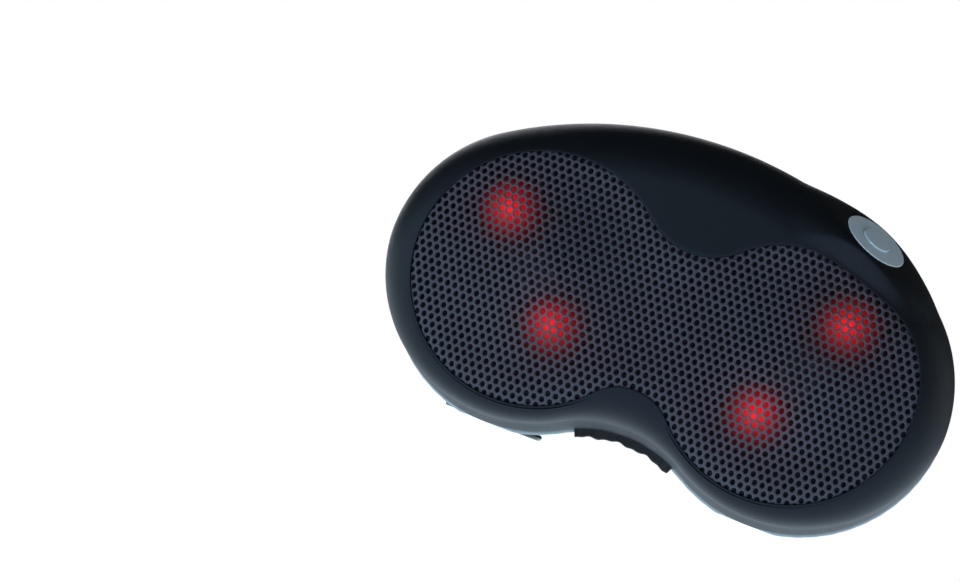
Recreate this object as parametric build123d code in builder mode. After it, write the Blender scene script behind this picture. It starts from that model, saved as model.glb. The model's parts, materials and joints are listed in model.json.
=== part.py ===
"""Shiatsu neck massager: a kidney-shaped pillow with two pairs of lit massage heads behind a mesh front.

Millimetres. +Z up, -Y is the front, X along the pillow. The pillow stands on its two lobes.
The origin is on the resting plane, midway between the lobes, below the seam between the front cover
and the back shell.
"""

from build123d import *
import math
import os

os.makedirs("parts", exist_ok=True)

# ---------------------------------------------------------------- driving dimensions
LENGTH = 340.0                          # along X, over both lobes
LOBE_R = 88.0                           # end radius of the outline
TOP_RISE = 112.0                        # top edge above the line of the lobes
NECK_DROP = 66.0                        # middle of the concave edge below that line
REST_FLAT = 0.35                        # how far each lobe is flattened where it stands
FACE_DEPTH = 70.0                       # seam to the flat part of the front face
DOME_DEPTH = 82.0                       # seam to the top of each dome
DOME_BASE_R = 56.0
SHOULDER_R = 34.0                       # rounding between side wall and face
BACK_DEPTH = 22.0                       # seam to the back face
BACK_EDGE_R = 16.0

LOBE_X = LENGTH / 2 - LOBE_R
LOBE_Z = LOBE_R - REST_FLAT
HEAD_RAISE = 4.0                        # the wheel centres stand this far above the lobes' centres
WHEEL_Z = LOBE_Z + HEAD_RAISE

# covers
COVER_WALL = 2.5
MESH_WALL = 2.0
LINER_SET = 2.3
LINER_WALL = 0.6
LINER_EDGE = 4.0                        # the liner ends this far inside the mesh panel's outline
FOAM_SET = 3.3
SHELL_WALL = 3.0
BEAD_R = 1.8                            # edge piping
BEAD_SET = 0.5                          # bead's centre inside the outline
SEAM_HALF = BEAD_R + 0.1                # the cover and the shell stop this far from the seam plane
PAST = 1.0                              # a cut runs on past the solid by this much
WELL_PAST = 5.0                         # the same for a cut through curved skins

# mesh panel, as a smaller two-lobed outline with a waist above and below
PANEL_X = 76.0
PANEL_R = 73.5
PANEL_TOP = 44.0
PANEL_BOTTOM = 40.0
PANEL_GAP = 0.15

# ribbed tab sewn in the seam at the neck
TAB_LENGTH = 64.0
TAB_REACH = 5.2
TAB_THICK = 2.4

# gear train: one double-ended motor, two worms, two worm wheels
MODULE = 1.0
TEETH = 60
WHEEL_PITCH_R = MODULE * TEETH / 2
WORM_PITCH_R = 6.0
WORM_LEAD = math.pi * MODULE
WORM_TURNS = 6
SHAFT_Z = WHEEL_Z + WHEEL_PITCH_R + WORM_PITCH_R
TOOTH_TIP = 0.45                        # half thickness of a wheel tooth at its tip
TOOTH_ROOT = 0.80
THREAD_TIP = 0.25                       # half thickness of the worm's thread at its crest
THREAD_ROOT = 0.50
GEAR_BACK = -1.0                        # Y of the wheel web's rear face
GEAR_FACE = 7.0
GEAR_MID = GEAR_BACK - GEAR_FACE / 2
SHAFT_R = 2.5
SHAFT_END = 106.0
RUNNING = 0.05                          # radial clearance of everything that turns
AXLE_R = 4.0
HUB_R = 12.0
HUB_BACK = 4.0
CLIP_R = 6.2
CLIP_THICK = 1.0
CLIP_BACK = -30.0
CLIP_MOUTH = 4.0
SCREW_R = 1.25

# arms and heads
ARM_REACH = 36.0                        # wheel axis to head axis
ARM_BACK = -33.4                        # Y of the arm's rear face
ARM_THICK = 5.0
ARM_WIDTH = 24.0
LEFT_ARM_ANGLE = 41.0                   # lean of each arm away from upright, tops outward
RIGHT_ARM_ANGLE = 25.0
PIN_R = 2.5
HEAD_R = 21.0
HEAD_BASE = -40.6
HEAD_SKIRT = 10.4
HEAD_WALL = 2.2
HEAD_TUBE_R = 5.0
crown = HEAD_BASE - HEAD_SKIRT          # Y where a head's skirt becomes its dome
HEAD_TOP = crown - HEAD_R

# chassis
CHASSIS_SET = 14.0                      # chassis outline inside the pillow's outline
CHASSIS_WALL = 2.5
CHASSIS_BACK = 17.0
CHASSIS_FLOOR = CHASSIS_BACK - CHASSIS_WALL
CHASSIS_RIM = -28.0                     # Y where the tray ends and the front plate begins
PLATE_THICK = 3.0
HUB_OPENING_R = 20.0
FOAM_OPENING_R = 60.0
FOAM_CAVITY_SET = 13.5
FOAM_CAVITY_GAP = 2.3                   # room for the screw heads

# motor
MOTOR_R = 17.5
MOTOR_WALL = 1.6
MOTOR_HALF = 29.0
MOTOR_NECK_R = 5.0
MOTOR_NECK = 4.0
ROTOR_R = 11.0
ROTOR_HALF = 18.0

# strap and buckle, on the back
STRAP_WIDTH = 38.0
WEBBING = 1.6
STRAP_Z = LOBE_Z + 26.0
STRAP_LAY = BACK_DEPTH + 0.3 + WEBBING / 2
BUCKLE_WIDTH = 50.0
BUCKLE_BACK = 24.2                      # Y of the buckle's face towards the shell
BUCKLE_THICK = 12.0
SOCKET_HOOP = -33.0                     # X of the socket's webbing end
SOCKET_MOUTH = -77.0                    # X of the socket's open end
INSERT_END = -107.0                     # X of the ladder lock's free end

# power button, on the upper right shoulder
BUTTON_X = 96.0
BUTTON_LEAN = 28.0                      # forward lean of the bezel's face
BEZEL_R = 20.0
BUTTON_R = 9.0
BUTTON_STANDS = 0.9

# captive lead
LEAD_R = 2.0
GROMMET_X = -129.0
GROMMET_Z = LOBE_Z - 6.5
GROMMET_R = 6.0
GROMMET_NECK_R = 4.5


# ---------------------------------------------------------------- shared geometry
def depth_plane(depth):
    """Sketch plane in front of the seam by depth; a negative depth is behind it."""
    return Plane.XZ.offset(depth)


def tangent_point(spacing, radius, rise):
    """Where the arc through (0, rise) meets the right lobe, with the lobes' line at height 0."""
    reach = (spacing**2 + rise**2 - radius**2) / (2 * (abs(rise) - radius))
    centre = Vector(0, math.copysign(1, rise) * (abs(rise) - reach))
    lobe = Vector(spacing, 0)
    return lobe + (lobe - centre) * (radius / (reach - radius))


def two_lobed_face(spacing, radius, top, bottom, height):
    """Face of two lobes joined above and below by tangent arcs."""
    upper = tangent_point(spacing, radius, top)
    lower = tangent_point(spacing, radius, -bottom)
    end = Vector(spacing + radius, 0)
    lift = Vector(0, height)
    upper_left = Vector(-upper.X, upper.Y)
    lower_left = Vector(-lower.X, lower.Y)
    with BuildSketch() as face:
        with BuildLine():
            ThreePointArc(lower + lift, end + lift, upper + lift)
            ThreePointArc(upper + lift, Vector(0, top) + lift, upper_left + lift)
            ThreePointArc(upper_left + lift, Vector(-end.X, 0) + lift, lower_left + lift)
            ThreePointArc(lower_left + lift, Vector(0, -bottom) + lift, lower + lift)
        make_face()
    return face.sketch


def pillow_face(inset=0.0):
    """The pillow's kidney outline, set inwards."""
    return two_lobed_face(LOBE_X, LOBE_R - inset, TOP_RISE - inset, NECK_DROP - inset, LOBE_Z)


def panel_face(inset=0.0):
    """The mesh panel's outline, set inwards."""
    return two_lobed_face(PANEL_X, PANEL_R - inset, PANEL_TOP - inset, PANEL_BOTTOM - inset, LOBE_Z)


def front_domes(inset):
    """Two shallow caps that stand on the front face, one over each pair of heads."""
    rise = DOME_DEPTH - FACE_DEPTH
    dome_r = (DOME_BASE_R**2 + rise**2) / (2 * rise)
    with BuildPart() as caps:
        for side in (-1, 1):
            with Locations((side * LOBE_X, dome_r - DOME_DEPTH, WHEEL_Z)):
                Sphere(dome_r - inset)
        split(bisect_by=depth_plane(FACE_DEPTH - inset - 1.0), keep=Keep.TOP)
    return caps.part


def front_form(inset):
    """The whole front half as a solid, its skin set inwards."""
    with BuildPart() as form:
        with BuildSketch(Plane.XZ):
            add(pillow_face(inset))
        extrude(amount=FACE_DEPTH - inset)
        fillet(form.edges().group_by(Axis.Y)[0], SHOULDER_R - inset)
        add(front_domes(inset))
    return form.part


def back_form(inset):
    """The whole back half as a solid, its skin set inwards."""
    with BuildPart() as form:
        with BuildSketch(Plane.XZ):
            add(pillow_face(inset))
        extrude(amount=-(BACK_DEPTH - inset))
        fillet(form.edges().group_by(Axis.Y)[-1], BACK_EDGE_R - inset)
    return form.part


def prism(face, near, far):
    """A face extruded from one depth to a deeper one."""
    with BuildPart() as block:
        with BuildSketch(depth_plane(near)):
            add(face)
        extrude(amount=far - near)
    return block.part


def finish(builder, name):
    """Label a finished piece and write it."""
    builder.part.label = name
    export_step(builder.part, "parts/" + name + ".step")


def rods(spots, radius, back, front):
    """Round bars along Y between two Y values, one at each (x, z) spot."""
    with BuildPart() as bars:
        with BuildSketch(Plane.XZ.offset(-back)):
            with Locations(*spots):
                Circle(radius)
        extrude(amount=back - front)
    return bars.part


def shaft_bar(radius, start, end):
    """Round bar on the drive shaft's line between two X values."""
    with BuildPart() as bar:
        with BuildSketch(Plane(origin=(start, GEAR_MID, SHAFT_Z), z_dir=(1, 0, 0))):
            Circle(radius)
        extrude(amount=end - start)
    return bar.part


def block(x_range, y_range, z_range):
    """Rectangular block between the given limits."""
    size = [limits[1] - limits[0] for limits in (x_range, y_range, z_range)]
    middle = [(limits[1] + limits[0]) / 2 for limits in (x_range, y_range, z_range)]
    with BuildPart() as solid:
        with Locations(tuple(middle)):
            Box(*size)
    return solid.part


# the pose of the power button: on the top arc, square to the shoulder where it leans forward
top_reach = (LOBE_X**2 + TOP_RISE**2 - LOBE_R**2) / (2 * (TOP_RISE - LOBE_R))
button_turn = math.asin(BUTTON_X / top_reach)
lean = math.radians(BUTTON_LEAN)
button_normal = Vector(
    math.sin(button_turn) * math.cos(lean), -math.sin(lean), math.cos(button_turn) * math.cos(lean)
)
shoulder_radius = top_reach - SHOULDER_R * (1 - math.cos(lean))
button_spot = Vector(
    shoulder_radius * math.sin(button_turn),
    -(FACE_DEPTH - SHOULDER_R) - SHOULDER_R * math.sin(lean),
    LOBE_Z + TOP_RISE - top_reach + shoulder_radius * math.cos(button_turn),
)
button_along = (math.cos(button_turn), 0, -math.sin(button_turn))
button_plane = Plane(button_spot, x_dir=button_along, z_dir=button_normal)

BEZEL_PROUD = 1.2
BEZEL_DEEP = 9.0
BEZEL_HOLE_R = BEZEL_R + 0.3
BEZEL_POCKET = BEZEL_DEEP + WELL_PAST   # depth of the opening behind the bezel
ABOVE_BEZEL = 20.0
foam_cavity_depth = PLATE_THICK + FOAM_CAVITY_GAP - CHASSIS_RIM


def button_column(radius, top, bottom):
    """Round column square to the bezel, for the holes that it passes through."""
    with BuildPart(button_plane) as column:
        with Locations((0, 0, (top + bottom) / 2)):
            Cylinder(radius, top - bottom)
    return column.part


# ---------------------------------------------------------------- covers and padding
with BuildPart() as front_cover:
    add(front_form(0))
    add(front_form(COVER_WALL), mode=Mode.SUBTRACT)
    add(prism(panel_face(), SHOULDER_R, DOME_DEPTH + WELL_PAST), mode=Mode.SUBTRACT)
    add(prism(pillow_face(-WELL_PAST), -PAST, SEAM_HALF), mode=Mode.SUBTRACT)
    add(button_column(BEZEL_HOLE_R, ABOVE_BEZEL, -BEZEL_POCKET), mode=Mode.SUBTRACT)
    split(bisect_by=Plane.XY, keep=Keep.TOP)
finish(front_cover, "front_cover")

with BuildPart() as mesh_panel:
    add(front_form(0))
    add(front_form(MESH_WALL), mode=Mode.SUBTRACT)
    add(prism(panel_face(PANEL_GAP), SHOULDER_R, DOME_DEPTH + WELL_PAST), mode=Mode.INTERSECT)
    add(button_column(BEZEL_HOLE_R, ABOVE_BEZEL, -BEZEL_POCKET), mode=Mode.SUBTRACT)
finish(mesh_panel, "mesh_panel")

with BuildPart() as inner_liner:
    add(front_form(LINER_SET))
    add(front_form(LINER_SET + LINER_WALL), mode=Mode.SUBTRACT)
    add(prism(panel_face(LINER_EDGE), SHOULDER_R, DOME_DEPTH + WELL_PAST), mode=Mode.INTERSECT)
finish(inner_liner, "inner_liner")

with BuildPart() as foam_pad:
    add(front_form(FOAM_SET))
    add(prism(pillow_face(FOAM_CAVITY_SET), -PAST, foam_cavity_depth), mode=Mode.SUBTRACT)
    add(prism(pillow_face(-WELL_PAST), -PAST, SEAM_HALF), mode=Mode.SUBTRACT)
    for side in (-1, 1):
        with Locations((side * LOBE_X, 0, WHEEL_Z)):
            Cylinder(FOAM_OPENING_R, 4 * FACE_DEPTH, rotation=(90, 0, 0), mode=Mode.SUBTRACT)
    add(button_column(BEZEL_HOLE_R, ABOVE_BEZEL, -BEZEL_POCKET - PAST), mode=Mode.SUBTRACT)
finish(foam_pad, "foam_pad")

with BuildPart() as edge_piping:
    with BuildLine() as bead_route:
        add(pillow_face(BEAD_SET).moved(Plane.XZ.location).wire())
    with BuildSketch(Plane(origin=bead_route.line @ 0, z_dir=bead_route.line % 0)):
        Circle(BEAD_R)
    sweep()
    split(bisect_by=Plane.XY, keep=Keep.TOP)
finish(edge_piping, "edge_piping")

with BuildPart() as seam_tab:
    with BuildSketch(depth_plane(SEAM_HALF)):
        add(pillow_face(-TAB_REACH))
        add(pillow_face(), mode=Mode.SUBTRACT)
        with Locations((0, LOBE_Z - NECK_DROP)):
            Rectangle(TAB_LENGTH, 8 * TAB_REACH, mode=Mode.INTERSECT)
    extrude(amount=TAB_THICK)
finish(seam_tab, "seam_tab")

with BuildPart() as back_shell:
    add(back_form(0))
    add(back_form(SHELL_WALL), mode=Mode.SUBTRACT)
    add(prism(pillow_face(-WELL_PAST), -SEAM_HALF, PAST), mode=Mode.SUBTRACT)
    grommet_hole = rods([(GROMMET_X, GROMMET_Z)], GROMMET_NECK_R, BACK_DEPTH + WELL_PAST, CHASSIS_BACK)
    add(grommet_hole, mode=Mode.SUBTRACT)
    split(bisect_by=Plane.XY, keep=Keep.TOP)
finish(back_shell, "back_shell")


# ---------------------------------------------------------------- chassis
wheel_spots = [(-LOBE_X, WHEEL_Z), (LOBE_X, WHEEL_Z)]
lobe_screw_r = LOBE_R - CHASSIS_SET - 8.0
screw_spots = [
    (side * (LOBE_X + lobe_screw_r * math.cos(math.radians(angle))),
     LOBE_Z + lobe_screw_r * math.sin(math.radians(angle)))
    for side in (-1, 1)
    for angle in (35, -35, -95)
] + [(side * 26.0, LOBE_Z + TOP_RISE - CHASSIS_SET - 10.0) for side in (-1, 1)]
bearing_xs = [side * (LOBE_X + step) for side in (-1, 1) for step in (-16.0, 16.0)]
clamp_xs = [-16.0, 16.0]
CLAMP_R = MOTOR_R + 2.2
CLAMP_HALF = 6.0                        # half of a clamp's width along X
CLAMP_FOOT = 4.0                        # half of a clamp foot along Z
CLAMP_FLANGE = 2.0
CLAMP_SPOT = CLAMP_R + CLAMP_FOOT
clamp_spots = [(x, SHAFT_Z + side * CLAMP_SPOT) for x in clamp_xs for side in (-1, 1)]
BOARD_W = 64.0
BOARD_H = 44.0
BOARD_Z = LOBE_Z - 18.0
BOARD_BACK = 10.6
BOARD_THICK = 1.6
board_spots = [(sx * (BOARD_W / 2 - 4), BOARD_Z + sz * (BOARD_H / 2 - 4)) for sx in (-1, 1) for sz in (-1, 1)]
BRUSH_DROP = 17.0
BRUSH_BACK = 7.0                        # Y where the brush fingers leave their block
BRUSH_HALF = 0.6
BRUSH_GAP = 0.3

with BuildPart() as chassis_rear:
    add(prism(pillow_face(CHASSIS_SET), -CHASSIS_BACK, -CHASSIS_RIM))
    add(prism(pillow_face(CHASSIS_SET + CHASSIS_WALL), -CHASSIS_FLOOR, -CHASSIS_RIM), mode=Mode.SUBTRACT)
    add(rods(screw_spots, 4.0, CHASSIS_FLOOR, CHASSIS_RIM))
    add(rods(wheel_spots, 7.0, CHASSIS_FLOOR, HUB_BACK + 1.2))
    add(rods(board_spots, 2.6, CHASSIS_FLOOR, BOARD_BACK))
    for x in bearing_xs:
        add(block((x - 2.5, x + 2.5), (GEAR_MID - 7, CHASSIS_FLOOR), (SHAFT_Z - 6.5, SHAFT_Z + 6.5)))
        add(shaft_bar(MOTOR_NECK_R, x - 3, x + 3), mode=Mode.SUBTRACT)
    for x in clamp_xs:
        for side in (-1, 1):
            middle = SHAFT_Z + side * CLAMP_SPOT
            post_z = (middle - CLAMP_FOOT, middle + CLAMP_FOOT)
            add(block((x - CLAMP_HALF, x + CLAMP_HALF), (GEAR_MID, CHASSIS_FLOOR), post_z))
            add(rods([(x, middle)], SCREW_R, GEAR_MID + 9, GEAR_MID), mode=Mode.SUBTRACT)
    add(rods(screw_spots, SCREW_R, CHASSIS_RIM + 13, CHASSIS_RIM), mode=Mode.SUBTRACT)
    add(rods(board_spots, SCREW_R - 0.25, BOARD_BACK + 4, BOARD_BACK), mode=Mode.SUBTRACT)
    add(rods(wheel_spots, AXLE_R, CHASSIS_BACK - 1, HUB_BACK + 1), mode=Mode.SUBTRACT)
    add(rods([(GROMMET_X, GROMMET_Z)], LEAD_R + 1, CHASSIS_BACK + 1, CHASSIS_FLOOR - 1), mode=Mode.SUBTRACT)
finish(chassis_rear, "chassis_rear")

with BuildPart() as chassis_front:
    add(prism(pillow_face(CHASSIS_SET), -CHASSIS_RIM, -CHASSIS_RIM + PLATE_THICK))
    add(rods(wheel_spots, HUB_OPENING_R, 0, CHASSIS_RIM - 10), mode=Mode.SUBTRACT)
    add(rods(screw_spots, SCREW_R, CHASSIS_RIM + 1, CHASSIS_RIM - PLATE_THICK - 1), mode=Mode.SUBTRACT)
finish(chassis_front, "chassis_front")

with BuildPart() as chassis_screws:
    add(rods(screw_spots, SCREW_R, CHASSIS_RIM + 12, CHASSIS_RIM - PLATE_THICK))
    add(rods(screw_spots, 2.7, CHASSIS_RIM - PLATE_THICK, CHASSIS_RIM - PLATE_THICK - 1.8))
finish(chassis_screws, "chassis_screws")


# ---------------------------------------------------------------- motor and drive shaft
with BuildPart() as motor_can:
    add(shaft_bar(MOTOR_R, -MOTOR_HALF, MOTOR_HALF - 3))
    add(shaft_bar(MOTOR_R - MOTOR_WALL, -MOTOR_HALF + MOTOR_WALL, MOTOR_HALF), mode=Mode.SUBTRACT)
    add(shaft_bar(MOTOR_NECK_R, -MOTOR_HALF - MOTOR_NECK, -MOTOR_HALF + MOTOR_WALL))
    add(shaft_bar(SHAFT_R + RUNNING, -MOTOR_HALF - 9, 0), mode=Mode.SUBTRACT)
finish(motor_can, "motor_can")

with BuildPart() as motor_end_cap:
    add(shaft_bar(MOTOR_R, MOTOR_HALF - 3, MOTOR_HALF))
    add(shaft_bar(MOTOR_NECK_R, MOTOR_HALF, MOTOR_HALF + MOTOR_NECK))
    add(shaft_bar(SHAFT_R + RUNNING, 0, MOTOR_HALF + 9), mode=Mode.SUBTRACT)
    for side in (-1, 1):
        terminal = GEAR_MID + side * 9.0
        add(block((MOTOR_HALF, MOTOR_HALF + 5), (terminal - 2, terminal + 2), (SHAFT_Z - 9.4, SHAFT_Z - 8.6)))
finish(motor_end_cap, "motor_end_cap")

with BuildPart() as motor_magnets:
    add(shaft_bar(MOTOR_R - MOTOR_WALL, -ROTOR_HALF - 2, ROTOR_HALF + 2))
    add(shaft_bar(ROTOR_R + 1.0, -ROTOR_HALF - 3, ROTOR_HALF + 3), mode=Mode.SUBTRACT)
    add(block((-30, 30), (GEAR_MID - 20, GEAR_MID + 20), (SHAFT_Z - 5, SHAFT_Z + 5)), mode=Mode.SUBTRACT)
finish(motor_magnets, "motor_magnets")

with BuildPart() as motor_rotor:
    add(shaft_bar(ROTOR_R, -ROTOR_HALF, ROTOR_HALF))
    add(shaft_bar(SHAFT_R, -ROTOR_HALF - 1, ROTOR_HALF + 1), mode=Mode.SUBTRACT)
    with BuildSketch(Plane(origin=(-ROTOR_HALF, GEAR_MID, SHAFT_Z), z_dir=(1, 0, 0))):
        with PolarLocations((ROTOR_R + 5.5) / 2, 5):
            Rectangle(ROTOR_R - 4.5, 1.6)
    extrude(amount=2 * ROTOR_HALF, mode=Mode.SUBTRACT)
finish(motor_rotor, "motor_rotor")

with BuildPart() as motor_clamps:
    for x in clamp_xs:
        add(shaft_bar(CLAMP_R, x - CLAMP_HALF, x + CLAMP_HALF))
    for x in clamp_xs:
        add(shaft_bar(MOTOR_R + 0.2, x - CLAMP_HALF - PAST, x + CLAMP_HALF + PAST), mode=Mode.SUBTRACT)
    split(bisect_by=Plane.XZ.offset(-GEAR_MID), keep=Keep.TOP)
    for x in clamp_xs:
        for side in (-1, 1):
            ends = sorted((SHAFT_Z + side * (CLAMP_R - 0.6), SHAFT_Z + side * (CLAMP_SPOT + CLAMP_FOOT)))
            add(block((x - CLAMP_HALF, x + CLAMP_HALF), (GEAR_MID - CLAMP_FLANGE, GEAR_MID), ends))
    add(rods(clamp_spots, SCREW_R, GEAR_MID + PAST, GEAR_MID - CLAMP_FLANGE - PAST), mode=Mode.SUBTRACT)
finish(motor_clamps, "motor_clamps")

with BuildPart() as clamp_screws:
    add(rods(clamp_spots, SCREW_R, GEAR_MID + 8, GEAR_MID - CLAMP_FLANGE))
    add(rods(clamp_spots, 2.6, GEAR_MID - CLAMP_FLANGE, GEAR_MID - CLAMP_FLANGE - 1.8))
finish(clamp_screws, "clamp_screws")

with BuildPart() as drive_shaft:
    add(shaft_bar(SHAFT_R, -SHAFT_END, SHAFT_END))
finish(drive_shaft, "drive_shaft")

with BuildPart() as shaft_bushes:
    for x in bearing_xs:
        add(shaft_bar(MOTOR_NECK_R, x - 2.5, x + 2.5))
        add(shaft_bar(SHAFT_R + RUNNING, x - 3, x + 3), mode=Mode.SUBTRACT)
finish(shaft_bushes, "shaft_bushes")

worm_root_r = WORM_PITCH_R - 1.25 * MODULE
worm_tip_r = WORM_PITCH_R + MODULE
WORM_LENGTH = WORM_TURNS * WORM_LEAD
WORM_COLLAR = 2.0
THREAD_SINK = 0.4


def worm_body(lefthand):
    """Worm along its own Z, its thread starting on the +X side."""
    with BuildPart() as body:
        with BuildLine():
            Helix(WORM_LEAD, WORM_LENGTH, worm_root_r, lefthand=lefthand)
        with BuildSketch(Plane.XZ):
            with BuildLine():
                Polyline(
                    (worm_root_r - THREAD_SINK, -THREAD_ROOT),
                    (worm_tip_r, -THREAD_TIP),
                    (worm_tip_r, THREAD_TIP),
                    (worm_root_r - THREAD_SINK, THREAD_ROOT),
                    close=True,
                )
            make_face()
        sweep(is_frenet=True)
        with BuildSketch(Plane.XY.offset(-WORM_COLLAR)):
            Circle(worm_root_r)
            Circle(SHAFT_R, mode=Mode.SUBTRACT)
        extrude(amount=WORM_LENGTH + 2 * WORM_COLLAR)
    return body.part


for side, label in ((-1, "worm_left"), (1, "worm_right")):
    start = side * LOBE_X - WORM_LENGTH / 2
    worm_plane = Plane(origin=(start, GEAR_MID, SHAFT_Z), x_dir=(0, 0, -1), z_dir=(1, 0, 0))
    with BuildPart() as worm:
        add(worm_body(side < 0).moved(worm_plane.location))
    finish(worm, label)


# ---------------------------------------------------------------- wheels, arms and heads
wheel_root_r = WHEEL_PITCH_R - 1.25 * MODULE
wheel_tip_r = WHEEL_PITCH_R + MODULE
inner_r = HEAD_R - HEAD_WALL
tube_angle = math.degrees(math.acos(HEAD_TUBE_R / inner_r))
tube_top = crown - math.sqrt(inner_r**2 - HEAD_TUBE_R**2)
ARM_SCREW_RING = 9.2
PIN_FRONT = -63.2
pin_seat = PIN_FRONT - 0.8              # Y of the blind end of the hole in each head
SLIP_BACK = 0.6

with BuildPart() as wheel_axles:
    add(rods(wheel_spots, AXLE_R, CHASSIS_BACK - 1, CLIP_BACK - CLIP_THICK - 1))
    add(rods(wheel_spots, AXLE_R + 1, CLIP_BACK, CLIP_BACK - CLIP_THICK), mode=Mode.SUBTRACT)
    add(rods(wheel_spots, AXLE_R - 1, CLIP_BACK, CLIP_BACK - CLIP_THICK))
finish(wheel_axles, "wheel_axles")

with BuildPart() as axle_clips:
    add(rods(wheel_spots, CLIP_R, CLIP_BACK, CLIP_BACK - CLIP_THICK))
    add(rods(wheel_spots, AXLE_R - 1, CLIP_BACK, CLIP_BACK - CLIP_THICK), mode=Mode.SUBTRACT)
    for x, z in wheel_spots:
        mouth_x = (x - CLIP_MOUTH / 2, x + CLIP_MOUTH / 2)
        mouth_z = (z - CLIP_R - PAST, z)
        add(block(mouth_x, (CLIP_BACK - CLIP_THICK, CLIP_BACK), mouth_z), mode=Mode.SUBTRACT)
finish(axle_clips, "axle_clips")

for side, label, lean_angle in ((-1, "left", LEFT_ARM_ANGLE), (1, "right", RIGHT_ARM_ANGLE)):
    centre = (side * LOBE_X, WHEEL_Z)
    turn = 90 - side * lean_angle
    along = (math.cos(math.radians(turn)), math.sin(math.radians(turn)))
    head_spots = [
        (centre[0] + end * ARM_REACH * along[0], centre[1] + end * ARM_REACH * along[1]) for end in (1, -1)
    ]
    with BuildSketch() as ring:
        with Locations(centre):
            with PolarLocations(ARM_SCREW_RING, 3, start_angle=turn):
                Circle(SCREW_R)
    arm_screw_spots = [(hole.center().X, hole.center().Y) for hole in ring.sketch.faces()]

    with BuildPart() as wheel:
        with BuildSketch(depth_plane(-GEAR_BACK)):
            with Locations(centre):
                Circle(wheel_root_r)
                with PolarLocations(0, TEETH, start_angle=90 + 180 / TEETH):
                    Polygon(
                        (wheel_root_r - 0.5, -TOOTH_ROOT),
                        (wheel_tip_r, -TOOTH_TIP),
                        (wheel_tip_r, TOOTH_TIP),
                        (wheel_root_r - 0.5, TOOTH_ROOT),
                        align=None,
                    )
        extrude(amount=GEAR_FACE)
        add(rods([centre], HUB_R, HUB_BACK, ARM_BACK))
        add(rods([centre], AXLE_R + RUNNING, HUB_BACK + 1, ARM_BACK), mode=Mode.SUBTRACT)
        add(rods([centre], CLIP_R + 0.4, CLIP_BACK + 0.2, ARM_BACK - 1), mode=Mode.SUBTRACT)
        add(rods(arm_screw_spots, SCREW_R, ARM_BACK + 8, ARM_BACK - 1), mode=Mode.SUBTRACT)
    finish(wheel, "worm_wheel_" + label)

    with BuildPart() as slip_ring:
        add(rods([centre], HUB_R + 10, SLIP_BACK, GEAR_BACK))
        add(rods([centre], HUB_R, SLIP_BACK + 1, GEAR_BACK - 1), mode=Mode.SUBTRACT)
    finish(slip_ring, "slip_ring_" + label)

    with BuildPart() as brush_block:
        brush_z = WHEEL_Z - BRUSH_DROP
        add(block((centre[0] - 7, centre[0] + 7), (BRUSH_BACK, CHASSIS_FLOOR), (brush_z - 4, brush_z + 4)))
        for shift in (-3, 3):
            finger = centre[0] + shift
            finger_x = (finger - BRUSH_HALF, finger + BRUSH_HALF)
            finger_z = (brush_z - BRUSH_HALF, brush_z + BRUSH_HALF)
            add(block(finger_x, (SLIP_BACK + BRUSH_GAP, BRUSH_BACK), finger_z))
    finish(brush_block, "brush_block_" + label)

    with BuildPart() as arm:
        with BuildSketch(depth_plane(-ARM_BACK)):
            with Locations(centre):
                SlotCenterToCenter(2 * ARM_REACH, ARM_WIDTH, rotation=turn)
        extrude(amount=ARM_THICK)
        add(rods(head_spots, PIN_R, ARM_BACK + 1, ARM_BACK - ARM_THICK - 1), mode=Mode.SUBTRACT)
        add(rods(arm_screw_spots, SCREW_R, ARM_BACK + 1, ARM_BACK - ARM_THICK - 1), mode=Mode.SUBTRACT)
    finish(arm, "arm_" + label)

    with BuildPart() as arm_screws:
        add(rods(arm_screw_spots, SCREW_R, ARM_BACK + 7, ARM_BACK - ARM_THICK))
        add(rods(arm_screw_spots, 2.4, ARM_BACK - ARM_THICK, ARM_BACK - ARM_THICK - 1.6))
    finish(arm_screws, "arm_screws_" + label)

    with BuildPart() as head_pins:
        add(rods(head_spots, PIN_R, ARM_BACK, PIN_FRONT))
    finish(head_pins, "head_pins_" + label)

    with BuildPart() as lamp_boards:
        add(rods(head_spots, 14, ARM_BACK - ARM_THICK - 1.5, ARM_BACK - ARM_THICK))
        add(rods(head_spots, 6, ARM_BACK, HEAD_BASE), mode=Mode.SUBTRACT)
        for shift in (-10, 10):
            lamps = [(x - shift * along[1], z + shift * along[0]) for x, z in head_spots]
            add(rods(lamps, 2.5, ARM_BACK - ARM_THICK - 1.5, HEAD_BASE - 4))
    finish(lamp_boards, "lamp_boards_" + label)

    for (x, z), place in zip(head_spots, ("upper", "lower")):
        with BuildPart() as head:
            with BuildSketch(Plane(origin=(x, 0, z))):
                with BuildLine():
                    CenterArc((0, crown), HEAD_R, -90, 90)
                    Polyline((HEAD_R, crown), (HEAD_R, HEAD_BASE), (inner_r, HEAD_BASE), (inner_r, crown))
                    CenterArc((0, crown), inner_r, 0, -tube_angle)
                    Polyline(
                        (HEAD_TUBE_R, tube_top),
                        (HEAD_TUBE_R, HEAD_BASE),
                        (PIN_R + RUNNING, HEAD_BASE),
                        (PIN_R + RUNNING, pin_seat),
                        (0, pin_seat),
                        (0, HEAD_TOP),
                    )
                make_face()
            revolve(axis=Axis((x, 0, z), (0, 1, 0)))
        finish(head, "head_" + label + "_" + place)


# ---------------------------------------------------------------- power button and boards
BUTTON_DEEP = 4.0
BUTTON_GAP = 0.3                        # round the button, inside the bezel
SWITCH_TOP = -5.1
SWITCH_SIDE = 6.0
SWITCH_BODY = 3.5
BUTTON_BOARD = -9.2

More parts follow.
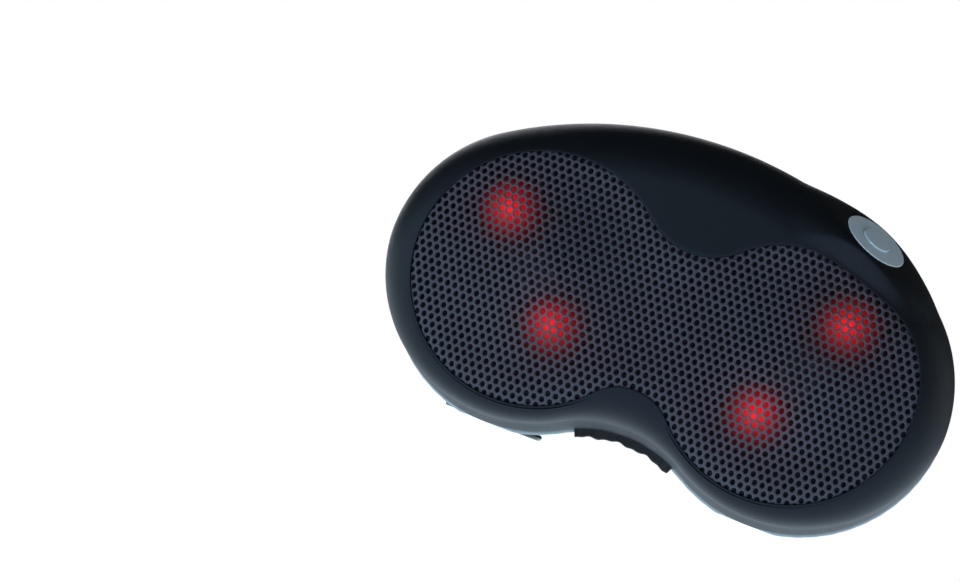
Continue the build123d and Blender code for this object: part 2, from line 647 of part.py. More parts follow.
with BuildPart(button_plane) as control_bezel:
    with Locations((0, 0, (BEZEL_PROUD - BEZEL_DEEP) / 2)):
        Cylinder(BEZEL_R, BEZEL_PROUD + BEZEL_DEEP)
    fillet(control_bezel.faces().sort_by(Axis(button_spot, button_normal))[-1].edges(), 0.8)
    with Locations((0, 0, (BEZEL_PROUD - BEZEL_DEEP) / 2)):
        Cylinder(BUTTON_R + BUTTON_GAP, BEZEL_PROUD + BEZEL_DEEP + 2, mode=Mode.SUBTRACT)
finish(control_bezel, "control_bezel")

with BuildPart(button_plane) as power_button:
    with Locations((0, 0, (BEZEL_PROUD + BUTTON_STANDS - BUTTON_DEEP) / 2)):
        Cylinder(BUTTON_R, BEZEL_PROUD + BUTTON_STANDS + BUTTON_DEEP)
    fillet(power_button.faces().sort_by(Axis(button_spot, button_normal))[-1].edges(), 0.6)
finish(power_button, "power_button")

with BuildPart(button_plane) as button_board:
    with Locations((0, 0, BUTTON_BOARD - BOARD_THICK / 2)):
        Cylinder(14, BOARD_THICK)
finish(button_board, "button_board")

with BuildPart(button_plane) as tact_switch:
    with Locations((0, 0, BUTTON_BOARD + SWITCH_BODY / 2)):
        Box(SWITCH_SIDE, SWITCH_SIDE, SWITCH_BODY)
    with Locations((0, 0, (SWITCH_TOP + BUTTON_BOARD) / 2)):
        Cylinder(1.7, SWITCH_TOP - BUTTON_BOARD)
finish(tact_switch, "tact_switch")

board_front = BOARD_BACK - BOARD_THICK
with BuildPart() as control_board:
    board_z = (BOARD_Z - BOARD_H / 2, BOARD_Z + BOARD_H / 2)
    add(block((-BOARD_W / 2, BOARD_W / 2), (board_front, BOARD_BACK), board_z))
    add(rods(board_spots, SCREW_R - 0.25, BOARD_BACK + 1, board_front - 1), mode=Mode.SUBTRACT)
finish(control_board, "control_board")

with BuildPart() as board_screws:
    add(rods(board_spots, SCREW_R - 0.25, BOARD_BACK + 3.5, board_front))
    add(rods(board_spots, 2.2, board_front, board_front - 1.4))
finish(board_screws, "board_screws")

with BuildPart() as board_components:
    add(block((-22, -6), (board_front - 12, board_front), (BOARD_Z - 4, BOARD_Z + 8)))
    add(block((2, 12), (board_front - 2, board_front), (BOARD_Z - 3, BOARD_Z + 7)))
    add(block((-12, 6), (board_front - 7, board_front), (BOARD_Z - 17, BOARD_Z - 11)))
    add(rods([(20, BOARD_Z + 4), (20, BOARD_Z - 8)], 4, board_front, board_front - 11))
finish(board_components, "board_components")


# ---------------------------------------------------------------- webbing and buckle
def shell_band(x_range):
    """Webbing that lies on the back shell between two X values, from the seam over the shell's edge."""
    gap = STRAP_LAY - WEBBING / 2 - BACK_DEPTH
    with BuildPart() as band:
        add(back_form(-gap - WEBBING))
        add(back_form(-gap), mode=Mode.SUBTRACT)
        strip_z = (STRAP_Z - STRAP_WIDTH / 2, STRAP_Z + STRAP_WIDTH / 2)
        add(block(x_range, (SEAM_HALF + 0.2, BACK_DEPTH + WELL_PAST), strip_z), mode=Mode.INTERSECT)
    return band.part


def webbing(points, radii):
    """Webbing of the strap's width that follows a route in the XY plane."""
    with BuildPart() as strip:
        with BuildSketch(Plane.XY.offset(STRAP_Z - STRAP_WIDTH / 2)):
            with BuildLine() as route:
                FilletPolyline(*points, radius=radii)
            trace(line_width=WEBBING)
        extrude(amount=STRAP_WIDTH)
    return strip.part


hoop_x = SOCKET_HOOP - 7.5
hoop_y = 33.0
sewn_y = STRAP_LAY + 1.9                # the returned end, sewn onto the first layer
hoop_route = [
    (SOCKET_HOOP + 22, STRAP_LAY),
    (hoop_x, STRAP_LAY),
    (hoop_x, hoop_y),
    (hoop_x + 10, hoop_y),
    (hoop_x + 19, sewn_y),
    (hoop_x + 46, sewn_y),
]
with BuildPart() as strap_fixed:
    add(shell_band((SOCKET_HOOP + 20, LENGTH)))
    add(webbing(hoop_route, [2.4, 2.4, 2.4, 5.0]))
finish(strap_fixed, "strap_fixed")

LOCK_BAR = (-95.0, -90.0)               # X of the insert's middle bar, and of the slots on its two sides
LOCK_SLOT_NEAR = (-90.0, -83.0)
LOCK_SLOT_FAR = (-102.0, -95.0)
with BuildPart() as strap_lower:
    add(shell_band((-LENGTH, LOCK_SLOT_NEAR[1] - 2)))
finish(strap_lower, "strap_lower")

# the tail's route in X and Y: round the lock bar, then out behind the left lobe
tail_route = [
    (-86.5, 24.7),
    (-86.5, 32.7),
    (-98.5, 32.7),
    (-98.5, 28.2),
    (-110, 28.2),
    (-124, 31.5),
    (-140, 38.5),
    (-152, 49.0),
    (-159, 62.0),
]
tail_radii = [2.2, 2.2, 1.8, 14.0, 25.0, 25.0, 25.0]
with BuildPart() as strap_tail:
    add(webbing(tail_route, tail_radii))
finish(strap_tail, "strap_tail")

buckle_z = (STRAP_Z - BUCKLE_WIDTH / 2, STRAP_Z + BUCKLE_WIDTH / 2)
slot_z = (STRAP_Z - STRAP_WIDTH / 2 - 1, STRAP_Z + STRAP_WIDTH / 2 + 1)
buckle_front = BUCKLE_BACK + BUCKLE_THICK
BUCKLE_WALL = 2.0
cavity_y = (BUCKLE_BACK + BUCKLE_WALL, buckle_front - BUCKLE_WALL)
BUCKLE_CUT = (20.0, 40.0)               # Y range of a cut through the whole buckle
HOOP_SLOT = (-45.0, -37.0)              # X of the slot for the fixed webbing
HOOP_BAR = (25.5, 31.5)                 # Y of the bar that this webbing goes round
hoop_bar_x = (HOOP_SLOT[1] - 0.5, SOCKET_HOOP + PAST)
with BuildPart() as buckle_socket:
    add(block((SOCKET_MOUTH, SOCKET_HOOP), (BUCKLE_BACK, buckle_front), buckle_z))
    fillet(buckle_socket.edges().filter_by(Axis.Y), 4.0)
    fillet(buckle_socket.faces().sort_by(Axis.Y)[-1].edges(), 1.6)
    add(block((SOCKET_MOUTH - 1, -47.0), cavity_y, (STRAP_Z - 20.5, STRAP_Z + 20.5)), mode=Mode.SUBTRACT)
    add(block((-67.0, -51.0), cavity_y, (STRAP_Z - 30, STRAP_Z + 30)), mode=Mode.SUBTRACT)
    add(block(HOOP_SLOT, BUCKLE_CUT, slot_z), mode=Mode.SUBTRACT)
    add(block(hoop_bar_x, (BUCKLE_CUT[0], HOOP_BAR[0]), slot_z), mode=Mode.SUBTRACT)
    add(block(hoop_bar_x, (HOOP_BAR[1], BUCKLE_CUT[1]), slot_z), mode=Mode.SUBTRACT)
finish(buckle_socket, "buckle_socket")

INSERT_FACE = -77.4
insert_front = buckle_front - BUCKLE_WALL
lock_x = (LOCK_BAR[0] - PAST, LOCK_BAR[1] + PAST)
with BuildPart() as buckle_insert:
    add(block((INSERT_END, INSERT_FACE), (BUCKLE_BACK, insert_front), buckle_z))
    fillet(buckle_insert.edges().filter_by(Axis.Y), 2.5)
    fillet(buckle_insert.faces().sort_by(Axis.Y)[-1].edges(), 1.2)
    add(block(LOCK_SLOT_NEAR, BUCKLE_CUT, slot_z), mode=Mode.SUBTRACT)
    add(block(LOCK_SLOT_FAR, BUCKLE_CUT, slot_z), mode=Mode.SUBTRACT)
    add(block(lock_x, (BUCKLE_CUT[0], 26.4), slot_z), mode=Mode.SUBTRACT)
    add(block(lock_x, (31.4, BUCKLE_CUT[1]), slot_z), mode=Mode.SUBTRACT)
    add(block((INSERT_END - PAST, LOCK_SLOT_FAR[0] + PAST), (BUCKLE_CUT[0], 30), slot_z), mode=Mode.SUBTRACT)
    add(block((INSERT_FACE, -49.5), (27.4, 33.0), (STRAP_Z - 5, STRAP_Z + 5)))
finish(buckle_insert, "buckle_insert")

with BuildPart() as buckle_prongs:
    with BuildSketch(depth_plane(-27.0)):
        for side in (-1, 1):
            with BuildLine():
                Polyline(
                    (INSERT_FACE, STRAP_Z + side * 12.5),
                    (INSERT_FACE, STRAP_Z + side * 16.5),
                    (-67.5, STRAP_Z + side * 17.5),
                    (-66.4, STRAP_Z + side * 22.5),
                    (-58.0, STRAP_Z + side * 24.2),
                    (-52.5, STRAP_Z + side * 19.8),
                    (-50.0, STRAP_Z + side * 16.0),
                    (-56.0, STRAP_Z + side * 14.5),
                    (-67.5, STRAP_Z + side * 14.0),
                    close=True,
                )
            make_face()
    extrude(amount=-6.4)
finish(buckle_prongs, "buckle_prongs")


# ---------------------------------------------------------------- captive lead
boot_y = BACK_DEPTH + 5.2
BOOT_END = GROMMET_X - 9.0
BOOT_R = 3.2
with BuildPart() as lead_grommet:
    add(rods([(GROMMET_X, GROMMET_Z)], GROMMET_R, BACK_DEPTH + 1.8, BACK_DEPTH))
    add(rods([(GROMMET_X, GROMMET_Z)], 4.0, boot_y + BOOT_R, BACK_DEPTH))
    add(rods([(GROMMET_X, GROMMET_Z)], GROMMET_NECK_R, BACK_DEPTH, CHASSIS_BACK + 0.2))
    with BuildSketch(Plane(origin=(GROMMET_X, boot_y, GROMMET_Z), z_dir=(-1, 0, 0))):
        Circle(BOOT_R)
    with BuildSketch(Plane(origin=(BOOT_END, boot_y, GROMMET_Z), z_dir=(-1, 0, 0))):
        Circle(LEAD_R + 0.6)
    loft()
finish(lead_grommet, "lead_grommet")

lead_points = [
    (BOOT_END, boot_y, GROMMET_Z),
    (-147.0, boot_y, GROMMET_Z),
    (-155.6, 28.4, 77.2),
    (-162.0, 30.0, 70.2),
    (-165.0, 31.8, 61.2),
    (-164.0, 33.8, 51.6),
    (-159.6, 36.0, 41.2),
    (-152.6, 38.2, 31.2),
    (-143.4, 40.6, 21.8),
    (-132.2, 43.0, 13.4),
    (-119.4, 45.2, 6.6),
    (-104.6, 47.0, 2.6),
    (-88.0, 49.0, 2.1),
    (-71.6, 54.4, 2.1),
    (-60.0, 66.4, 2.1),
    (-57.4, 82.2, 2.1),
    (-65.2, 95.6, 2.3),
    (-78.4, 101.6, 3.4),
    (-91.0, 102.4, 5.5),
]


def fillet_radii(points):
    """One radius for each corner: 0.45 of the shorter run over the tangent of half the turn."""
    radii = []
    for before, corner, after in zip(points, points[1:], points[2:]):
        arriving = Vector(*corner) - Vector(*before)
        leaving = Vector(*after) - Vector(*corner)
        half_turn = math.radians(arriving.get_angle(leaving) / 2)
        radii.append(0.45 * min(arriving.length, leaving.length) / math.tan(half_turn))
    return radii


lead_radii = fillet_radii(lead_points)
with BuildPart() as dc_lead:
    with BuildLine() as lead_route:
        FilletPolyline(*lead_points, radius=lead_radii)
    with BuildSketch(Plane(origin=lead_route.line @ 0, z_dir=lead_route.line % 0)):
        Circle(LEAD_R)
    sweep()
finish(dc_lead, "dc_lead")
lead_length = lead_route.wire().length
print("lead length", round(lead_length, 1), "tube volume over section times length",
      round(dc_lead.part.volume / (math.pi * LEAD_R**2 * lead_length), 4))
print("lead radii", [round(radius, 1) for radius in lead_radii])

CONNECTOR_R = 5.4
CONNECTOR_BOOT = 10.0
CONNECTOR_BARREL = 24.0
lead_end = lead_route.line @ 1
lead_direction = lead_route.line % 1
level = Vector(lead_direction.X, lead_direction.Y, 0).normalized()
with BuildPart() as lead_connector:
    with BuildSketch(Plane(origin=lead_end, z_dir=lead_direction)):
        Circle(LEAD_R + 0.5)
    with BuildSketch(Plane(origin=lead_end + level * CONNECTOR_BOOT, z_dir=level)):
        Circle(CONNECTOR_R - 1)
    loft()
    with BuildSketch(Plane(origin=lead_end + level * CONNECTOR_BOOT, z_dir=level)):
        Circle(CONNECTOR_R)
    extrude(amount=CONNECTOR_BARREL)
    fillet(lead_connector.edges().filter_by(GeomType.CIRCLE).sort_by(Axis(lead_end, level))[-1], 0.8)
    mouth = Plane(origin=lead_end + level * (CONNECTOR_BOOT + CONNECTOR_BARREL), z_dir=-level)
    with BuildSketch(mouth):
        Circle(2.75)
        Circle(1.0, mode=Mode.SUBTRACT)
    extrude(amount=10, mode=Mode.SUBTRACT)
finish(lead_connector, "lead_connector")
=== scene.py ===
"""Looks of the shiatsu neck massager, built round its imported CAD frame.

Metres, +Z up, -Y is the front, X along the pillow. Sizes below are in millimetres and turned to metres by MM.
"""

import json
import math

import bmesh
import bpy
import numpy as np
from mathutils import Matrix, Vector

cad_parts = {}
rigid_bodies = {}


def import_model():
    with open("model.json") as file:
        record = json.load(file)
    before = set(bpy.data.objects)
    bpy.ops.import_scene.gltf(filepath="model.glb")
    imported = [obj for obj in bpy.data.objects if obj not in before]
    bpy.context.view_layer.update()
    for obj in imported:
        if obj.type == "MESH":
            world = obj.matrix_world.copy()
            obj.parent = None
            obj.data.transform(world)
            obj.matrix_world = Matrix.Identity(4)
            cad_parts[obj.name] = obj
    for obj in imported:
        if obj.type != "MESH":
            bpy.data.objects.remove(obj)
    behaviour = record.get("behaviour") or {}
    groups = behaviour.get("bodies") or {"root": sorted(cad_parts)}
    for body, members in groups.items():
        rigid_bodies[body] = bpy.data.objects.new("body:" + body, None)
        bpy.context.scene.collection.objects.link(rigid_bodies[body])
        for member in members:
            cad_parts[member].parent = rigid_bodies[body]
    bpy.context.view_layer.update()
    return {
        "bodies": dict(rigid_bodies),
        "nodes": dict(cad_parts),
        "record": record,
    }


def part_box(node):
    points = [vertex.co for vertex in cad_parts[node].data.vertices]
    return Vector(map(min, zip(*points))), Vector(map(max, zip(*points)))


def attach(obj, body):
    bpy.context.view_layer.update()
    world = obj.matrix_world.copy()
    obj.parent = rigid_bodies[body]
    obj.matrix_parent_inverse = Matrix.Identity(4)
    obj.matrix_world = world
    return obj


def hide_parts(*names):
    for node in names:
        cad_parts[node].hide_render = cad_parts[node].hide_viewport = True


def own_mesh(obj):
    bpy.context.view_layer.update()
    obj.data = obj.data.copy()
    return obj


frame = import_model()

MM = 0.001

# ---------------------------------------------------------------- driving dimensions, mm
LOBE_X = 82.0
LOBE_R = 88.0
TOP_RISE = 112.0
NECK_DROP = 66.0
LOBE_Z = 87.65
WHEEL_Z = LOBE_Z + 4.0
PANEL_X = 76.0
PANEL_R = 73.5
PANEL_TOP = 44.0
PANEL_BOTTOM = 40.0
SHOULDER_R = 34.0
FACE_DEPTH = 70.0
DOME_RISE = 12.0
DOME_BASE_R = 64.0
SEAM_HALF = 1.9
BACK_DEPTH = 22.0
BACK_EDGE = 40.0                        # how far in from the outline the back goes on rising
STRAP_Z = LOBE_Z + 26.0
STRAP_WIDTH = 38.0
WEBBING = 1.6
BEZEL_R = 20.0
HOLE_R = 1.46                           # mesh fabric: hole radius and pitch
PITCH = 4.6
BEAD_R = 1.8
BUTTON_X = 96.0
BUTTON_LEAN = math.radians(28)

root = "root"                           # body of everything that doesn't move


# ---------------------------------------------------------------- outline arithmetic
class TwoLobes:
    """Outline of two round lobes joined above and below by tangent arcs; heights are from the lobes' line."""

    def __init__(self, lobe_x, lobe_r, top, bottom):
        self.lobe_x = lobe_x
        self.lobe_r = lobe_r
        self.arcs = []
        for sign, rise in ((1, top), (-1, bottom)):
            reach = (lobe_x**2 + rise**2 - lobe_r**2) / (2 * (rise - lobe_r))
            self.arcs.append((sign * (rise - reach), reach, sign))
        self.angles = []
        for centre, reach, sign in self.arcs:
            hollow = reach < 0
            dx, dz = lobe_x, -centre
            if hollow:
                dx, dz = -dx, -dz
            self.angles.append(math.atan2(dz, dx))

    def inset(self, x, z):
        """Distance inside the outline at each point; negative outside."""
        x = np.abs(np.asarray(x, float))
        z = np.asarray(z, float)
        turn = np.arctan2(z, x - self.lobe_x)
        upper, lower = self.angles
        on_lobe = (turn <= upper) & (turn >= lower)
        result = np.where(on_lobe, self.lobe_r - np.hypot(x - self.lobe_x, z), 1e3)
        for centre, reach, sign in self.arcs:
            away = (z - centre) * (sign if reach > 0 else -sign)
            within = (away > 0) & (x * abs(centre) <= away * self.lobe_x)
            gap = np.hypot(x, z - centre)
            distance = reach - gap if reach > 0 else gap + reach
            result = np.where(within, np.minimum(result, distance), result)
        return np.where(result > 900, 0.5, result)

    def loop(self, count):
        """Points evenly round the outline with their outward normals, anticlockwise from the right end."""
        pieces = []
        upper, lower = self.angles
        (top_c, top_r, _), (low_c, low_r, _) = self.arcs
        pieces.append((self.lobe_x, 0.0, self.lobe_r, 0.0, upper, 1))
        pieces.append((0.0, top_c, abs(top_r), *self._sweep(top_c, top_r, 1), 1 if top_r > 0 else -1))
        pieces.append((-self.lobe_x, 0.0, self.lobe_r, math.pi - upper, math.pi - lower, 1))
        pieces.append((0.0, low_c, abs(low_r), *self._sweep(low_c, low_r, -1), 1 if low_r > 0 else -1))
        pieces.append((self.lobe_x, 0.0, self.lobe_r, lower, 0.0, 1))
        lengths = [abs(end - start) * radius for _, _, radius, start, end, _ in pieces]
        stations = np.arange(count) * sum(lengths) / count
        points, normals = [], []
        for s in stations:
            k = 0
            while s > lengths[k]:
                s -= lengths[k]
                k += 1
            cx, cz, radius, start, end, way = pieces[k]
            angle = start + (end - start) * s / lengths[k]
            direction = (math.cos(angle), math.sin(angle))
            points.append((cx + radius * direction[0], cz + radius * direction[1]))
            normals.append((way * direction[0], way * direction[1]))
        return np.array(points), np.array(normals)

    def _sweep(self, centre, reach, sign):
        """Start and end angle of the upper (sign 1, right to left) or lower (sign -1, left to right) arc."""
        right = math.atan2(-centre, self.lobe_x)
        left = math.pi - right
        if sign > 0:
            return (right, left) if reach > 0 else (right, -math.pi - right)
        return (left, right)


pillow = TwoLobes(LOBE_X, LOBE_R, TOP_RISE, NECK_DROP)
panel = TwoLobes(PANEL_X, PANEL_R, PANEL_TOP, PANEL_BOTTOM)


BUTTON_CLEARANCE = 9.0                  # how far the mesh's edge bends away from the power button
BUTTON_NEAR = (101.0, 76.0)
BUTTON_SPREAD = 24.0


def panel_inset(x, z):
    """Distance inside the mesh panel's edge, which bends round the power button."""
    near = np.exp(-((x - BUTTON_NEAR[0]) ** 2 + (z - BUTTON_NEAR[1]) ** 2) / (2 * BUTTON_SPREAD**2))
    return panel.inset(x, z) - BUTTON_CLEARANCE * near


def smooth_step(value, start, end):
    t = np.clip((value - start) / (end - start), 0, 1)
    return t * t * (3 - 2 * t)


def front_depth(x, z):
    """Depth of the front face at a point; z from the lobes' line."""
    rise = np.clip(pillow.inset(x, z), 0, SHOULDER_R)
    depth = FACE_DEPTH - SHOULDER_R + np.sqrt(np.maximum(SHOULDER_R**2 - (SHOULDER_R - rise) ** 2, 0))
    for side in (-1, 1):
        r = np.hypot(x - side * LOBE_X, z - (WHEEL_Z - LOBE_Z)) / DOME_BASE_R
        depth = depth + DOME_RISE * np.maximum(1 - r * r, 0) ** 2
    return depth


def back_depth(x, z):
    """Depth of the back behind the seam at a point; z from the lobes' line."""
    t = np.clip(pillow.inset(x, z), 0, BACK_EDGE) / BACK_EDGE
    return 5.0 + (BACK_DEPTH - 5.0) * np.sqrt(1 - (1 - t) ** 3.2)


# ---------------------------------------------------------------- mesh helpers
def make_object(name, vertices, faces, body=root, slot=None, material=None, smooth=True):
    """A piece from vertices in mm, riding on a body."""
    mesh = bpy.data.meshes.new(name)
    mesh.from_pydata((np.asarray(vertices, float) * MM).tolist(), [], [list(map(int, f)) for f in faces])
    mesh.validate()
    obj = bpy.data.objects.new(name, mesh)
    bpy.context.scene.collection.objects.link(obj)
    mesh.polygons.foreach_set("use_smooth", [smooth] * len(mesh.polygons))
    if material is not None:
        mesh.materials.append(material)
    if body is not None:
        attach(obj, body)
    return obj


def outward(obj):
    """Turn every face outwards."""
    work = bmesh.new()
    work.from_mesh(obj.data)
    bmesh.ops.recalc_face_normals(work, faces=work.faces)
    work.to_mesh(obj.data)
    work.free()


def ring_faces(rows, count):
    """Quads between closed rings of count points."""
    faces = []
    for r in range(rows - 1):
        for c in range(count):
            d = (c + 1) % count
            faces.append((r * count + c, r * count + d, (r + 1) * count + d, (r + 1) * count + c))
    return faces


def grid_solid(name, middle, thickness, relief=0.0, **more):
    """A closed strip round a grid of middle-surface points (rows, columns, 3), its faces moved by relief."""
    rows, columns, _ = middle.shape
    along = np.gradient(middle, axis=0)
    across = np.gradient(middle, axis=1)
    normal = np.cross(along, across)
    normal /= np.maximum(np.linalg.norm(normal, axis=2, keepdims=True), 1e-9)
    raised = np.asarray(relief, float)
    if raised.ndim == 2:
        raised = raised[..., None]
    top = middle + normal * (thickness / 2 + raised)
    under = middle - normal * (thickness / 2 + raised)
    vertices = np.concatenate([top.reshape(-1, 3), under.reshape(-1, 3)])
    low = rows * columns
    faces = []
    for r in range(rows - 1):
        for c in range(columns - 1):
            a = r * columns + c
            faces.append((a, a + 1, a + columns + 1, a + columns))
            faces.append((low + a, low + a + columns, low + a + columns + 1, low + a + 1))
    for r in range(rows - 1):
        for c in (0, columns - 1):
            a = r * columns + c
            faces.append((a, a + columns, low + a + columns, low + a))
    for c in range(columns - 1):
        for r in (0, rows - 1):
            a = r * columns + c
            faces.append((a, a + 1, low + a + 1, low + a))
    obj = make_object(name, vertices, faces, **more)
    outward(obj)
    return obj


def tube(name, centre, normals, radius, sides=14, **more):
    """A closed round bead along a closed loop of (x, z) points at the seam plane."""
    count = len(centre)
    rows = []
    for k in range(sides):
        turn = 2 * math.pi * k / sides
        out = np.cos(turn) * radius
        rows.append(np.c_[centre[:, 0] + normals[:, 0] * out, np.sin(turn) * radius * np.ones(count),
                          centre[:, 1] + normals[:, 1] * out + LOBE_Z])
    rows.append(rows[0])
    vertices = np.concatenate(rows[:-1])
    faces = []
    for k in range(sides):
        nxt = (k + 1) % sides
        for c in range(count):
            d = (c + 1) % count
            faces.append((k * count + c, k * count + d, nxt * count + d, nxt * count + c))
    obj = make_object(name, vertices, faces, **more)
    outward(obj)
    return obj


def to_world(x, depth, z):
    """Row-frame points in mm from x, depth in front of the seam and height from the lobes' line."""
    return np.stack([x, -np.asarray(depth), np.asarray(z) + LOBE_Z], axis=-1)


# ---------------------------------------------------------------- materials
def material(
    name, colour, roughness, grain="noise", scale=400.0, bump=0.15, depth=0.0002, variation=0.12,
    sheen=0.0, metallic=0.0, coat=0.0, specular=0.5, stretch=(1, 1, 1),
):
    """A procedural finish: base colour that varies a little, and a fine relief of the given grain."""
    mat = bpy.data.materials.new(name)
    mat.use_nodes = True
    nodes, links = mat.node_tree.nodes, mat.node_tree.links
    shader = nodes["Principled BSDF"]
    shader.inputs["Metallic"].default_value = metallic
    shader.inputs["Sheen Weight"].default_value = sheen
    shader.inputs["Sheen Roughness"].default_value = 0.4
    shader.inputs["Coat Weight"].default_value = coat
    shader.inputs["Specular IOR Level"].default_value = specular
    coordinates = nodes.new("ShaderNodeTexCoord")
    mapping = nodes.new("ShaderNodeMapping")
    mapping.inputs["Scale"].default_value = stretch
    links.new(coordinates.outputs["Object"], mapping.inputs["Vector"])
    cloud = nodes.new("ShaderNodeTexNoise")
    cloud.inputs["Scale"].default_value = 35.0
    cloud.inputs["Detail"].default_value = 5.0
    links.new(mapping.outputs["Vector"], cloud.inputs["Vector"])
    ramp = nodes.new("ShaderNodeValToRGB")
    ramp.color_ramp.elements[0].position = 0.3
    ramp.color_ramp.elements[1].position = 0.7
    ramp.color_ramp.elements[0].color = (*[c * (1 - variation) for c in colour], 1)
    ramp.color_ramp.elements[1].color = (*[min(c * (1 + variation), 1) for c in colour], 1)
    links.new(cloud.outputs["Fac"], ramp.inputs["Fac"])
    links.new(ramp.outputs["Color"], shader.inputs["Base Color"])
    rough = nodes.new("ShaderNodeMapRange")
    rough.inputs["To Min"].default_value = max(roughness - 0.06, 0.02)
    rough.inputs["To Max"].default_value = min(roughness + 0.06, 1.0)
    links.new(cloud.outputs["Fac"], rough.inputs["Value"])
    links.new(rough.outputs["Result"], shader.inputs["Roughness"])
    relief = nodes.new("ShaderNodeBump")
    relief.inputs["Strength"].default_value = bump
    relief.inputs["Distance"].default_value = depth
    if grain == "cells":
        texture = nodes.new("ShaderNodeTexVoronoi")
        texture.inputs["Scale"].default_value = scale
        height = texture.outputs["Distance"]
    elif grain == "weave":
        texture = nodes.new("ShaderNodeTexWave")
        texture.inputs["Scale"].default_value = scale
        texture.inputs["Distortion"].default_value = 1.2
        texture.inputs["Detail"].default_value = 1.0
        height = texture.outputs["Fac"]
    else:
        texture = nodes.new("ShaderNodeTexNoise")
        texture.inputs["Scale"].default_value = scale
        texture.inputs["Detail"].default_value = 3.0
        height = texture.outputs["Fac"]
    links.new(mapping.outputs["Vector"], texture.inputs["Vector"])
    links.new(height, relief.inputs["Height"])
    links.new(relief.outputs["Normal"], shader.inputs["Normal"])
    return mat


def glowing(name, centre, colour, strength, reach):
    """Red translucent plastic lit from inside: its light fades with distance from the head's axis."""
    mat = material(name, colour, 0.35, scale=900, bump=0.1)
    nodes, links = mat.node_tree.nodes, mat.node_tree.links
    shader = nodes["Principled BSDF"]
    shader.inputs["Emission Color"].default_value = (1.0, 0.012, 0.016, 1)
    coordinates = nodes.new("ShaderNodeTexCoord")
    parts = nodes.new("ShaderNodeSeparateXYZ")
    links.new(coordinates.outputs["Object"], parts.inputs["Vector"])
    flat = nodes.new("ShaderNodeCombineXYZ")
    links.new(parts.outputs["X"], flat.inputs["X"])
    links.new(parts.outputs["Z"], flat.inputs["Z"])
    distance = nodes.new("ShaderNodeVectorMath")
    distance.operation = "DISTANCE"
    distance.inputs[1].default_value = (centre[0], 0, centre[1])
    links.new(flat.outputs["Vector"], distance.inputs[0])
    fade = nodes.new("ShaderNodeMapRange")
    fade.inputs["From Min"].default_value = reach
    fade.inputs["From Max"].default_value = 0.0
    links.new(distance.outputs["Value"], fade.inputs["Value"])
    power = nodes.new("ShaderNodeMath")
    power.operation = "POWER"
    power.inputs[1].default_value = 2.6
    links.new(fade.outputs["Result"], power.inputs[0])
    scaled = nodes.new("ShaderNodeMath")
    scaled.operation = "MULTIPLY"
    scaled.inputs[1].default_value = strength
    links.new(power.outputs["Value"], scaled.inputs[0])
    links.new(scaled.outputs["Value"], shader.inputs["Emission Strength"])
    return mat


BLACK_FABRIC = material(
    "cover_cloth", (0.0035, 0.0045, 0.006), 0.50, "weave", 1500, 0.2, 0.0002, 0.10, specular=0.27,
)
# Painted reflection colour: the cover's reflections are tinted blue, standing in for the cool light its lower
# side picks up.
BLACK_FABRIC.node_tree.nodes["Principled BSDF"].inputs["Specular Tint"].default_value = (0.58, 0.77, 1.0, 1)
MESH_FABRIC = material(
    "mesh_cloth", (0.033, 0.042, 0.062), 0.66, "weave", 2200, 0.35, 0.0002, 0.16, sheen=0.10,
)
FOAM = material("foam", (0.006, 0.006, 0.008), 0.95, "cells", 900, 0.6, 0.0004, 0.2)
PIPING = material("pale_piping", (0.27, 0.33, 0.37), 0.42, "weave", 900, 0.15, 0.0002, 0.05)
RIBBON = material("ribbed_ribbon", (0.012, 0.015, 0.020), 0.6, "weave", 2600, 0.35, 0.0002, 0.2, sheen=0.2)
LEATHERETTE = material(
    "leatherette", (0.017, 0.018, 0.037), 0.46, "cells", 1500, 0.10, 0.0002, 0.08, specular=0.45,
)
WEB = material("webbing", (0.011, 0.012, 0.019), 0.62, "weave", 2400, 0.3, 0.0002, 0.22, sheen=0.3)
THREAD = material("thread", (0.012, 0.013, 0.02), 0.5, "weave", 4000, 0.4, 0.0001, 0.2, sheen=0.3)
BUCKLE = material("buckle_plastic", (0.010, 0.010, 0.015), 0.34, "noise", 1400, 0.08, 0.0001, 0.08)
PALE_PLASTIC = material("pale_plastic", (0.62, 0.78, 0.88), 0.42, "noise", 1800, 0.05, 0.0001, 0.03)
DARK_PLASTIC = material("dark_plastic", (0.012, 0.012, 0.014), 0.55, "noise", 1200, 0.15, 0.0002, 0.1)
ACETAL = material("acetal", (0.16, 0.16, 0.15), 0.4, "noise", 700, 0.06, 0.0001, 0.05)
LAMP = material("lamp", (0.4, 0.02, 0.02), 0.3, "noise", 500, 0.05)
BOARD = material("circuit_board", (0.01, 0.06, 0.025), 0.4, "noise", 600, 0.1)
PARTS = material("component", (0.02, 0.02, 0.02), 0.4, "noise", 600, 0.1)
STEEL = material("steel", (0.5, 0.5, 0.51), 0.3, "noise", 500, 0.1, metallic=1.0, stretch=(0.1, 1, 1))
ZINC = material("zinc", (0.55, 0.55, 0.56), 0.35, "noise", 700, 0.1, metallic=1.0)
BRONZE = material("bronze", (0.5, 0.3, 0.12), 0.4, "noise", 900, 0.1, metallic=1.0)
MAGNET = material("magnet", (0.05, 0.05, 0.055), 0.6, "noise", 900, 0.2)
COPPER = material("copper", (0.6, 0.32, 0.18), 0.3, "noise", 900, 0.05, metallic=1.0)
CABLE = material("cable_jacket", (0.008, 0.008, 0.010), 0.22, "noise", 700, 0.04, 0.0001, 0.1, coat=0.2)

